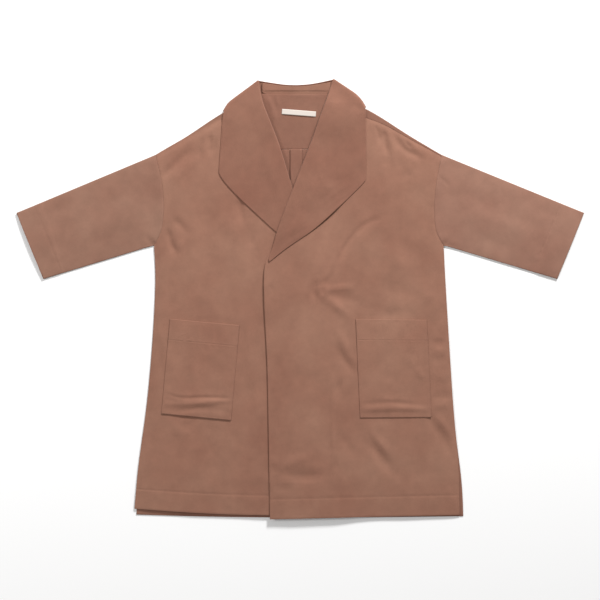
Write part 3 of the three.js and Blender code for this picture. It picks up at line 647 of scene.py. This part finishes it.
def print_snaps(front):
    """Adds what shows of the hidden snaps on the front over them: a low dome with a ring, and two tacks."""
    places = points(front)
    x, y, _ = places.T
    distance = np.hypot(x - SNAPS["inner"][0], y - SNAPS["inner"][1])
    dome = groove(distance, 15, -1.9)
    ring = groove(distance - 9, 3.5, -1.1)
    hollow = groove(distance, 5, 1.5)
    places[:, 2] += dome + ring + hollow
    for tack in SNAP_TACKS:
        places[:, 2] += groove(np.hypot(x - tack[0], y - tack[1]), 3.2, 1.2)
    store(front, places)


# ---- pieces ----
def lay_back():
    """The back panel: flat on the table, lifted a little in its creases, pleated down its middle."""
    back = fine_sheet("back_panel", "back_panel_cloth", 3, upper=True)
    places = points(back)
    x, y, _ = places.T
    inside = fade(np.abs(x), 340, 280) * fade(y, -465, -405) * fade(y, 300, 240)
    off_pleat = fade(np.abs(x - PLEAT_MIDDLE), 22, 42)
    places[:, 2] += crease_height(UNDERSIDE_CREASES, x, y) * inside * off_pleat
    places[:, 2] += groove(hem_height(back, x, y) - BACK_HEM_DEPTH, 1.6, 0.25)
    store(back, places)
    return back


def lay_yoke():
    """The back yoke, with small folds beside the neck, where the collar's roll pushes the cloth together."""
    yoke = fine_sheet("back_yoke", "back_yoke_cloth", 3)
    places = points(yoke)
    places[:, 2] += crease_height(YOKE_CREASES, places[:, 0], places[:, 1])
    store(yoke, places)
    return yoke


def lay_front(side):
    """One front: soft and creased, flat along its side seam and shoulder, with its hem line."""
    front = fine_sheet(f"front_{side}", f"front_{side}_cloth", 3, upper=True)
    places = points(front)
    x, y, _ = places.T
    hem = hem_height(front, x, y)
    from_side, _ = nearest_on(side_line(side), x, y)
    from_shoulder, _ = nearest_on(np.array(SHOULDER_LINES[side], float), x, y)
    free = clear_of(from_side, 9) * clear_of(from_shoulder, 9)
    loft = BODY_LOFT * np.clip(hem / 80, 0.1, 1)
    places[:, 2] += (loft + crease_height(BODY_CREASES, x, y)) * free
    places[:, 2] += 0.35 * soft_unevenness(x, y, 90, 5) * free
    places[:, 2] += armhole_groove(side, x, y)
    places[:, 2] += groove(hem - FRONT_HEM_DEPTH, 1.8, 0.5)
    places[:, 2] += puckers(x, hem - FRONT_HEM_DEPTH, 9, 0.2, 23)
    places[:, 2] += groove(from_side, 3.5, 0.28) * (y > SLIT_TOP)
    from_pocket, _ = nearest_on(np.array(POCKETS[side]["upper"], float) + (0, 1.5), x, y)
    places[:, 2] += groove(from_pocket, 3.2, 1.1)
    if side == "left":
        below_lapel = fade(y, 130, 80)
        places[:, 2] += OVERLAP_LOFT * fade(x, 130, 70) * below_lapel
        places[:, 2] += FREE_EDGE_LIFT * fade(x, -56, -82) ** 2 * below_lapel
    store(front, places)
    return front


SHOULDER_LINES = {
    "right": [(-172, 398), (-318.5, 317)],
    "left": [(140, 410), (311, 317)],
}


def side_line(side):
    """The coat's side edge from hem to underarm."""
    lines = {
        "right": [(-366.5, -484), (-357, -372), (-337, -231), (-324, -90), (-317.5, 50), (-322, 118)],
        "left": [(350.5, -484), (348.5, -372), (336, -231), (327, -90), (318.5, 50), (315.5, 118)],
    }
    return np.array(lines[side], float)


def lay_sleeve(side):
    """A sleeve, laid as a flat tube: creased above and below, and flat at both of its folds."""
    way = SIDES[side]
    sleeve = fine_sheet(f"sleeve_{side}", f"sleeve_{side}_cloth", 3)
    places = points(sleeve)
    x, y, z = places.T
    upper = fade(z, 1.6, 3.2)
    lower = fade(z, 0.6, 0.1)
    cuff = cuff_distance(side, x, y)
    folds = [np.array([(way * p[0], p[1]) for p in fold], float) for fold in SLEEVE_FOLDS]
    to_fold = np.minimum(*(nearest_on(fold, x, y)[0] for fold in folds))
    free = clear_of(to_fold, 12)
    lift = SLEEVE_SHARE * crease_height(SLEEVE_CREASES[side], x, y) + 0.3 * soft_unevenness(x, y, 80, 11)
    lift += armhole_groove(side, x, y)
    from_stitches = cuff - CUFF_STITCHES[side]
    lift += groove(from_stitches, 1.8, 0.4) + puckers(y, from_stitches, 8, 0.1, 17)
    places[:, 2] += lift * upper * free
    places[:, 2] += crease_height(UNDERSIDE_CREASES, x, y) * lower * free * fade(cuff, 20, 80)
    store(sleeve, places)
    return sleeve


def collar_grid(collar):
    """How far along the collar each point lies, in rows from the right lapel's tip, and how far across it.

    Across runs from 0 at the collar's outer edge to 1 at its roll.
    """
    along, across = sorted(cell_numbers(collar).T, key=np.ptp, reverse=True)
    leftmost = points(collar)[:, 0].argmin()
    if along[leftmost] > along.max() / 2:
        along = along.max() - along
    if across[leftmost] > across.max() / 2:
        across = across.max() - across
    return along, across / across.max()


def lay_collar():
    """The collar: soft over the chest, standing up along its roll and most of all beside the neck."""
    collar = fine_sheet("collar", "collar_cloth", 3)
    places = points(collar)
    x, y, z = places.T
    upper = fade(z, 6, 8)
    _, across = collar_grid(collar)
    to_roll = fade(across, 0.12, 0.62)
    standing = to_roll**2 * (3 - 2 * to_roll) * fade(y, 110, 370)
    places[:, 2] += (ROLL_LIFT * standing + LAPEL_LIFT) * upper * fade(y, 470, 430)
    places[:, 2] += crease_height(COLLAR_CREASES, x, y) * upper
    places[:, 2] += 0.5 * soft_unevenness(x, y, 110, 3) * upper
    store(collar, places)
    return collar


def collar_shares(collar):
    """How much of each point belongs to the right and to the left lapel, from its place along the collar."""
    along, _ = collar_grid(collar)
    right = fade(along, LAPEL_ROWS + 0.6, LAPEL_ROWS - 0.4)
    left = fade(along.max() - along, LAPEL_ROWS + 0.6, LAPEL_ROWS - 0.4)
    top_layer = fade(points(collar)[:, 2], 4.5, 6.5)
    from_middle = along - along.max() / 2
    right = np.maximum(right, top_layer * fade(from_middle, 0, -3))
    left = np.maximum(left, top_layer * fade(from_middle, 0, 3))
    return right, left


def lay_pocket(side):
    """A patch pocket, a little soft in its middle, with the lines of its stitches."""
    pocket = fine_sheet(f"pocket_{side}", f"pocket_{side}_cloth", 4, upper=True)
    places = points(pocket)
    x, y, _ = places.T
    distance, _ = nearest_on(band_line(side), x, y)
    edge, along = nearest_on(pocket_outline(side), x, y)
    free = clear_of(edge, 7)
    places[:, 2] += crease_height(POCKET_CREASES[side], x, y) * free
    places[:, 2] += 0.25 * soft_unevenness(x, y, 55, 8) * free
    places[:, 2] += groove(distance, 1.4, 0.4) + puckers(x, distance, 8, 0.09, 16)
    places[:, 2] += groove(edge - POCKET_SEAM, 1.2, 0.22) + puckers(along * 570, edge, 7, 0.1, 21)
    store(pocket, places)
    return pocket


POCKETS = {
    "right": {"upper": [(-286, -43.5), (-134, -57.5)], "lower": [(-305, -252.3), (-152.5, -267)]},
    "left": {"upper": [(121.5, -44), (277.5, -46)], "lower": [(131.5, -260.5), (287.7, -259.5)]},
}


def pocket_outline(side, inset=0.0):
    """The three sewn edges of a pocket, from the top of one side round to the top of the other."""
    (a, b), (c, d) = POCKETS[side]["upper"], POCKETS[side]["lower"]
    centre = np.mean([a, b, c, d], axis=0)
    path = [np.array(p, float) for p in (a, c, d, b)]
    return np.array([p + (centre - p) * inset / np.linalg.norm(centre - p) * 1.3 for p in path])


def band_line(side):
    """The stitched line across a pocket, below its turned top hem."""
    (a, b), (c, d) = POCKETS[side]["upper"], POCKETS[side]["lower"]
    share = POCKET_BAND / math.dist(a, c)
    a, b, c, d = (np.array(corner) for corner in (a, b, c, d))
    return np.array([a + (c - a) * share, b + (d - b) * share])


# ---- finishes ----
def give(node, values):
    """Sets inputs of a node by their names."""
    for name, value in values.items():
        node.inputs[name].default_value = value


def wire(tree, wires):
    """Links nodes: each wire is a node, its output's name, another node and its input's name."""
    for source, output, target, entry in wires:
        tree.links.new(source.outputs[output], target.inputs[entry])


BODY_TONE = (0.272, 0.131, 0.0875)  # the cloth's red, green and blue, as linear values


def coat_twill(name, grain_turn=0.0, tone=(1, 1, 1)):
    """Matte brushed twill: fine diagonal ribs under a short nap, slightly mottled, with a soft sheen."""
    material = bpy.data.materials.new(name)
    material.use_nodes = True
    tree = material.node_tree
    tree.nodes.clear()
    new = tree.nodes.new
    link = tree.links.new
    out = new("ShaderNodeOutputMaterial")
    cloth = new("ShaderNodeBsdfPrincipled")
    give(cloth, {"Roughness": 0.92, "Specular IOR Level": 0.25})
    give(cloth, {"Sheen Weight": 0.16, "Sheen Roughness": 0.55, "Sheen Tint": (0.95, 0.78, 0.70, 1)})
    link(cloth.outputs["BSDF"], out.inputs["Surface"])

    where = new("ShaderNodeTexCoord")
    turn = new("ShaderNodeMapping")
    give(turn, {"Rotation": (0, 0, math.radians(grain_turn))})
    link(where.outputs["Object"], turn.inputs["Vector"])

    def noise(scale, detail, roughness):
        texture = new("ShaderNodeTexNoise")
        give(texture, {"Scale": scale, "Detail": detail, "Roughness": roughness})
        link(turn.outputs["Vector"], texture.inputs["Vector"])
        return texture.outputs["Fac"]

    ribs = new("ShaderNodeTexWave")
    ribs.wave_type = "BANDS"
    ribs.bands_direction = "DIAGONAL"
    give(ribs, {"Scale": 480, "Distortion": 1.6, "Detail": 2, "Detail Scale": 2.5})
    link(turn.outputs["Vector"], ribs.inputs["Vector"])
    nap = noise(950, 4, 0.62)
    mottle = noise(38, 4, 0.6)
    cloud = noise(7, 3, 0.55)

    def shade(factor, low, high, colour):
        """Multiplies a colour by a grey that runs from low to high with a pattern."""
        grey = new("ShaderNodeMapRange")
        give(grey, {"From Min": 0.25, "From Max": 0.75, "To Min": low, "To Max": high})
        link(factor, grey.inputs["Value"])
        product = new("ShaderNodeVectorMath")
        product.operation = "SCALE"
        if isinstance(colour, tuple):
            product.inputs[0].default_value = colour
        else:
            link(colour, product.inputs[0])
        link(grey.outputs["Result"], product.inputs["Scale"])
        return product.outputs["Vector"]

    def tint(factor, low, high, colour):
        """Multiplies a colour by one that runs from low to high with a pattern."""
        patch = new("ShaderNodeMapRange")
        patch.data_type = "FLOAT_VECTOR"
        limits = {"From_Min": (0.3,) * 3, "From_Max": (0.7,) * 3, "To_Min": low, "To_Max": high}
        for limit, value in limits.items():
            next(k for k in patch.inputs if k.identifier == f"{limit}_FLOAT3").default_value = value
        link(factor, patch.inputs["Vector"])
        product = new("ShaderNodeVectorMath")
        product.operation = "MULTIPLY"
        link(colour, product.inputs[0])
        link(patch.outputs["Vector"], product.inputs[1])
        return product.outputs["Vector"]

    colour = tuple(a * b for a, b in zip(BODY_TONE, tone))
    colour = shade(mottle, 0.92, 1.08, colour)
    colour = tint(cloud, (0.93, 0.88, 0.87), (1.07, 1.12, 1.12), colour)
    colour = shade(ribs.outputs["Fac"], 0.93, 1.05, colour)
    colour = shade(nap, 0.93, 1.07, colour)
    link(colour, cloth.inputs["Base Color"])

    height = new("ShaderNodeMath")
    height.operation = "MULTIPLY_ADD"
    height.inputs[1].default_value = 0.45
    link(ribs.outputs["Fac"], height.inputs[0])
    link(nap, height.inputs[2])
    bump = new("ShaderNodeBump")
    give(bump, {"Strength": 0.55, "Distance": 0.00025})
    link(height.outputs["Value"], bump.inputs["Height"])
    link(bump.outputs["Normal"], cloth.inputs["Normal"])
    return material


def plain_finish(name, colour, roughness, metallic=0.0, grain=600.0):
    """A simple finish with a fine grain in its colour and surface."""
    material = bpy.data.materials.new(name)
    material.use_nodes = True
    tree = material.node_tree
    shader = tree.nodes["Principled BSDF"]
    give(shader, {"Roughness": roughness, "Metallic": metallic})
    where = tree.nodes.new("ShaderNodeTexCoord")
    speckle = tree.nodes.new("ShaderNodeTexNoise")
    give(speckle, {"Scale": grain, "Detail": 3})
    ramp = tree.nodes.new("ShaderNodeValToRGB")
    ramp.color_ramp.elements[0].color = (*(0.9 * c for c in colour), 1)
    ramp.color_ramp.elements[1].color = (*(min(1.05 * c, 1) for c in colour), 1)
    bump = tree.nodes.new("ShaderNodeBump")
    give(bump, {"Strength": 0.3, "Distance": 0.0002})
    wires = [
        (where, "Object", speckle, "Vector"),
        (speckle, "Fac", ramp, "Fac"),
        (speckle, "Fac", bump, "Height"),
        (ramp, "Color", shader, "Base Color"),
        (bump, "Normal", shader, "Normal"),
    ]
    wire(tree, wires)
    return material


def pale_finish(name):
    """The matte, almost white finish of the table."""
    material = bpy.data.materials.new(name)
    material.use_nodes = True
    shader = material.node_tree.nodes["Principled BSDF"]
    give(shader, {"Base Color": (0.94, 0.94, 0.94, 1), "Roughness": 0.9})
    return material


# ---- sewing ----
def stitch_tree(thread):
    """A tree that lays one stitch after another along the edges of a mesh."""
    tree = bpy.data.node_groups.new("stitches", "GeometryNodeTree")
    for name, kind, value in (
        ("Lines", "NodeSocketGeometry", None),
        ("Pitch", "NodeSocketFloat", 3.2 * MM),
        ("Stitch length", "NodeSocketFloat", 2.5 * MM),
        ("Thread width", "NodeSocketFloat", 0.5 * MM),
        ("Thread height", "NodeSocketFloat", 0.4 * MM),
        ("Thread", "NodeSocketMaterial", thread),
    ):
        socket = tree.interface.new_socket(name, in_out="INPUT", socket_type=kind)
        if value is not None:
            socket.default_value = value
    tree.interface.new_socket("Stitches", in_out="OUTPUT", socket_type="NodeSocketGeometry")
    nodes = tree.nodes
    given = nodes.new("NodeGroupInput")
    result = nodes.new("NodeGroupOutput")
    curve = nodes.new("GeometryNodeMeshToCurve")
    spaced = nodes.new("GeometryNodeResampleCurve")
    spaced.mode = "LENGTH"
    tangent = nodes.new("GeometryNodeInputTangent")
    turn = nodes.new("FunctionNodeAlignRotationToVector")
    turn.axis = "X"
    bead = nodes.new("GeometryNodeMeshIcoSphere")
    give(bead, {"Radius": 0.5, "Subdivisions": 1})
    size = nodes.new("ShaderNodeCombineXYZ")
    placed = nodes.new("GeometryNodeInstanceOnPoints")
    real = nodes.new("GeometryNodeRealizeInstances")
    painted = nodes.new("GeometryNodeSetMaterial")
    wires = [
        (given, "Lines", curve, "Mesh"),
        (curve, "Curve", spaced, "Curve"),
        (given, "Pitch", spaced, "Length"),
        (tangent, "Tangent", turn, "Vector"),
        (given, "Stitch length", size, "X"),
        (given, "Thread width", size, "Y"),
        (given, "Thread height", size, "Z"),
        (spaced, "Curve", placed, "Points"),
        (bead, "Mesh", placed, "Instance"),
        (turn, "Rotation", placed, "Rotation"),
        (size, "Vector", placed, "Scale"),
        (placed, "Instances", real, "Geometry"),
        (real, "Geometry", painted, "Geometry"),
        (given, "Thread", painted, "Material"),
        (painted, "Geometry", result, "Stitches"),
    ]
    wire(tree, wires)
    return tree


def evenly(path, step=3.0):
    """Points on a path at even steps."""
    path = np.array(path, float)
    length = np.concatenate([[0], np.cumsum(np.hypot(*np.diff(path, axis=0).T))])
    at = np.linspace(0, length[-1], max(2, int(length[-1] / step)))
    return np.column_stack([np.interp(at, length, path[:, k]) for k in (0, 1)])


def sew(name, lines, thread):
    """Stitches along lines of places in millimetres, as one plain mesh."""
    mesh = bmesh.new()
    for line in lines:
        verts = [mesh.verts.new(Vector(place) * MM) for place in line]
        for a, b in zip(verts, verts[1:]):
            mesh.edges.new((a, b))
    sewn = new_object(name, mesh)
    maker = sewn.modifiers.new("stitches", "NODES")
    maker.node_group = stitch_tree(thread)
    apply_modifiers(sewn)
    for face in sewn.data.polygons:
        face.use_smooth = True
    return sewn


def on_top(tree, path, sink=STITCH_SINK):
    """A path in the plane, raised onto the surface below it."""
    flat = evenly(path)
    height = height_over(tree, flat[:, 0], flat[:, 1])
    known = np.isfinite(height)
    height = np.interp(np.arange(len(height)), np.flatnonzero(known), height[known])
    return np.column_stack([flat, height - sink])


def hem_line(sheet, depth, margin=3.0):
    """A line at a height above a sheet's lower edge, from side to side."""
    low = rim_line(sheet, lambda p: p[:, 1] < HEM_TOP)
    within = (low[:, 0] > low[0, 0] + margin) & (low[:, 0] < low[-1, 0] - margin)
    return low[within, :2] + (0, depth)


def cuff_line(side, depth, margin=3.0):
    """A line across a sleeve at a distance in from its cuff, from fold to fold."""
    ends = []
    for at_cuff, at_body in SLEEVE_FOLDS:
        at_cuff, at_body = (np.array((SIDES[side] * p[0], p[1]), float) for p in (at_cuff, at_body))
        share = depth / cuff_distance(side, *at_body)
        ends.append(at_cuff + (at_body - at_cuff) * share)
    top, low = ends
    inset = (low - top) * margin / np.linalg.norm(low - top)
    return np.array([top + inset, low - inset])


# ---- small pieces ----
def label_tape(tree):
    """The bare woven neck label, with its ends folded under and tacked down."""
    columns = 50
    rows = 8
    side = np.tile(np.linspace(-1, 1, columns + 1), rows + 1)
    level = np.repeat(np.linspace(-1, 1, rows + 1), columns + 1)
    along = side * LABEL_WIDTH / 2
    across = level * LABEL_DEPTH / 2
    x = LABEL_MIDDLE[0] + along * math.cos(LABEL_TURN) - across * math.sin(LABEL_TURN)
    y = LABEL_MIDDLE[1] + along * math.sin(LABEL_TURN) + across * math.cos(LABEL_TURN)
    side = np.abs(side)
    puffed = 0.5 * (1 - side**8)
    tacked = 0.2 * np.exp(-(((side - 0.95) / 0.02) ** 2))
    z = height_over(tree, x, y) + (0.25 + LABEL_THICKNESS + puffed - tacked)
    mesh = bmesh.new()
    verts = [mesh.verts.new(Vector(place) * MM) for place in zip(x, y, z)]
    for j in range(rows):
        for i in range(columns):
            k = j * (columns + 1) + i
            mesh.faces.new([verts[k], verts[k + 1], verts[k + columns + 2], verts[k + columns + 1]])
    label = new_object("neck_label_tape", mesh)
    thicken(label, LABEL_THICKNESS)
    return label


def snap_disc(name, place, tree):
    """A sew-on snap: a low disc with a raised middle and a rolled edge."""
    profile = [(0, 1.5), (1.6, 1.5), (2.1, 1.0), (4.6, 0.8), (6.2, 0.95), (7, 0.5), (6.6, 0.0), (0, 0.0)]
    steps = 24
    base = float(height_over(tree, *np.array([place]).T)[0]) + 0.2
    mesh = bmesh.new()
    rings = []
    for radius, height in profile:
        ring = []
        for k in range(steps if radius else 1):
            turn = k * 2 * math.pi / steps
            x = place[0] + radius * math.cos(turn)
            y = place[1] + radius * math.sin(turn)
            ring.append(mesh.verts.new(Vector((x, y, base + height)) * MM))
        rings.append(ring)
    for upper, lower in zip(rings, rings[1:]):
        for k in range(steps):
            around = ((upper, k), (lower, k), (lower, k + 1), (upper, k + 1))
            corners = [ring[j % len(ring)] for ring, j in around]
            mesh.faces.new(list(dict.fromkeys(corners)))
    bmesh.ops.recalc_face_normals(mesh, faces=mesh.faces)
    return new_object(name, mesh)


def finish_piece(piece, node, material):
    """Gives a piece its finish, fastens it to the root and hides the imported part that it stands for."""
    piece.data.materials.clear()
    piece.data.materials.append(material)
    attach(piece, "root")
    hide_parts(node)


# ---- camera, lights and table ----
def set_camera():
    """A long lens straight above the coat."""
    camera = bpy.data.objects.new("camera", bpy.data.cameras.new("camera"))
    camera.data.lens = 85
    camera.data.sensor_width = 36
    view_width = 1.32
    camera.location = (-0.0006, -0.0022, view_width * camera.data.lens / camera.data.sensor_width)
    camera.data.clip_end = 50
    bpy.context.scene.collection.objects.link(camera)
    bpy.context.scene.camera = camera


def soft_light(name, place, target, size, power):
    """A round lamp that shines from its place towards a target."""
    lamp = bpy.data.lights.new(name, "AREA")
    lamp.shape = "DISK"
    lamp.size = size
    lamp.energy = power
    made = bpy.data.objects.new(name, lamp)
    made.location = place
    made.rotation_euler = (Vector(target) - Vector(place)).to_track_quat("-Z", "Y").to_euler()
    made.visible_camera = False
    bpy.context.scene.collection.objects.link(made)


def set_studio():
    """Even light from all round, a key lamp at the upper right, a weak fill at the left and a pale table."""
    world = bpy.data.worlds.new("studio")
    bpy.context.scene.world = world
    world.use_nodes = True
    give(world.node_tree.nodes["Background"], {"Color": (1, 0.99, 0.98, 1), "Strength": 0.38})
    soft_light("key", (1.4, 3.5, 1.85), (0, 0, 0), size=0.8, power=248)
    soft_light("fill", (-2.4, 0.6, 2.2), (-0.2, 0, 0), size=0.9, power=34)
    bpy.context.scene.view_settings.view_transform = "Standard"
    mesh = bmesh.new()
    reach = 9
    top = -0.0003
    corners = [mesh.verts.new((x * reach, y * reach, top)) for x, y in ((-1, -1), (1, -1), (1, 1), (-1, 1))]
    mesh.faces.new(corners)
    table = new_object("table", mesh)
    table.data.materials.append(pale_finish("pale_table"))


# ---- the coat ----
set_camera()
set_studio()

back = lay_back()
yoke = lay_yoke()
front_right = lay_front("right")
front_left = lay_front("left")
collar = lay_collar()
sleeves = {side: lay_sleeve(side) for side in SIDES}
pockets = {side: lay_pocket(side) for side in SIDES}
stand = fine_sheet("collar_stand", "collar_stand_cloth", 3, upper=True)
right_share, left_share = collar_shares(collar)
back_hem = hem_line(back, BACK_HEM_DEPTH)

# The layers settle in the order in which they lie: back, right front, right lapel, left front, left lapel.
meet(stand, yoke, lambda p: p[:, 1] < 458, reach=3, soften=9)
thicken(back, CLOTH)
thicken(yoke, CLOTH)
inside = tree_of(back, yoke)
settle(front_right, [inside], CLOTH)
settle(collar, [inside, tree_of(front_right)], COLLAR_CLOTH, right_share)
right_lapel = tree_of(collar, chosen=right_share > 0.5)
settle(front_left, [inside, tree_of(front_right), right_lapel], CLOTH)
print_snaps(front_left)
settle(collar, [inside, tree_of(front_right), tree_of(front_left)], COLLAR_CLOTH, left_share)

# The sleeves' upper layers close up to the fronts, and the pockets lie on them.
fronts = {"right": front_right, "left": front_left}
for side, front in fronts.items():
    meet(sleeves[side], front, lambda p: (p[:, 2] > 1.6) & (np.abs(p[:, 0]) < 420), reach=2.5, soften=16)
    settle(pockets[side], [tree_of(front)], CLOTH)
hem_lines = {side: hem_line(front, FRONT_HEM_DEPTH) for side, front in fronts.items()}

for piece in (front_right, front_left, *sleeves.values(), *pockets.values()):
    thicken(piece, CLOTH)
for piece in (collar, stand):
    thicken(piece, COLLAR_CLOTH)

twill = coat_twill("coat_twill")
lapel_twill = coat_twill("lapel_twill", grain_turn=8, tone=(0.87, 0.82, 0.815))
# Both sleeves are lighter and bluer than the body in their own tone. The left sleeve's copy is lighter still:
# painted light for the brighter light on the coat's +X side.
sleeve_twill = {
    "right": coat_twill("right_sleeve_twill", grain_turn=24, tone=(0.96, 1.01, 1.04)),
    "left": coat_twill("left_sleeve_twill", grain_turn=-24, tone=(1.01, 1.06, 1.11)),
}
inside_twill = coat_twill("inside_twill", tone=(0.85, 0.82, 0.83))

for piece, node, material, flat, area, rests_on in (
    (back, "back_panel", inside_twill, (0.77, 0.81), 0.556, ["table"]),
    (yoke, "back_yoke", inside_twill, (0.64, 0.18), 0.0585, ["collar"]),
    (stand, "collar_stand", twill, (0.15, 0.024), 0.0029, ["collar"]),
    (front_right, "front_right", twill, (0.447, 0.925), 0.322, ["back_panel"]),
    (front_left, "front_left", twill, (0.435, 0.931), 0.327, ["front_right", "back_panel"]),
    (collar, "collar", lapel_twill, (1.02, 0.18), 0.1, ["front_right", "front_left"]),
    (sleeves["right"], "sleeve_right", sleeve_twill["right"], (0.4, 0.345), 0.111, ["table"]),
    (pockets["right"], "pocket_right", twill, (0.153, 0.211), None, ["front_right"]),
    (sleeves["left"], "sleeve_left", sleeve_twill["left"], (0.4, 0.345), 0.111, ["table"]),
    (pockets["left"], "pocket_left", twill, (0.153, 0.211), None, ["front_left"]),
):
    finish_piece(piece, node, material)

label = label_tape(tree_of(yoke))
label_weave = plain_finish("label_weave", (0.64, 0.575, 0.52), roughness=0.85, grain=900)
finish_piece(label, "neck_label", label_weave)
snap_metal = plain_finish("snap_metal", (0.5, 0.48, 0.45), roughness=0.4, metallic=1.0)
snap_floor = tree_of(front_right)
for name, place in SNAPS.items():
    snap = snap_disc(f"snap_{name}_disc", place, snap_floor)
    finish_piece(snap, f"snap_{name}", snap_metal)

# ---- stitches ----
back_top = tree_of(back)
# The back's second row lies inside its cloth and doesn't show.
lines = [on_top(back_top, back_hem, sink) for sink in (STITCH_SINK, CLOTH - 0.35)]
for side in SIDES:
    pocket_top = tree_of(pockets[side])
    lines.append(on_top(tree_of(sleeves[side]), cuff_line(side, CUFF_STITCHES[side])))
    lines.append(on_top(tree_of(fronts[side]), hem_lines[side]))
    lines.append(on_top(pocket_top, band_line(side)))
    lines.append(on_top(pocket_top, pocket_outline(side, POCKET_SEAM)))
thread = plain_finish("thread", (0.24, 0.115, 0.078), roughness=0.8)
stitches = sew("coat_stitches", lines, thread)
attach(stitches, "root")
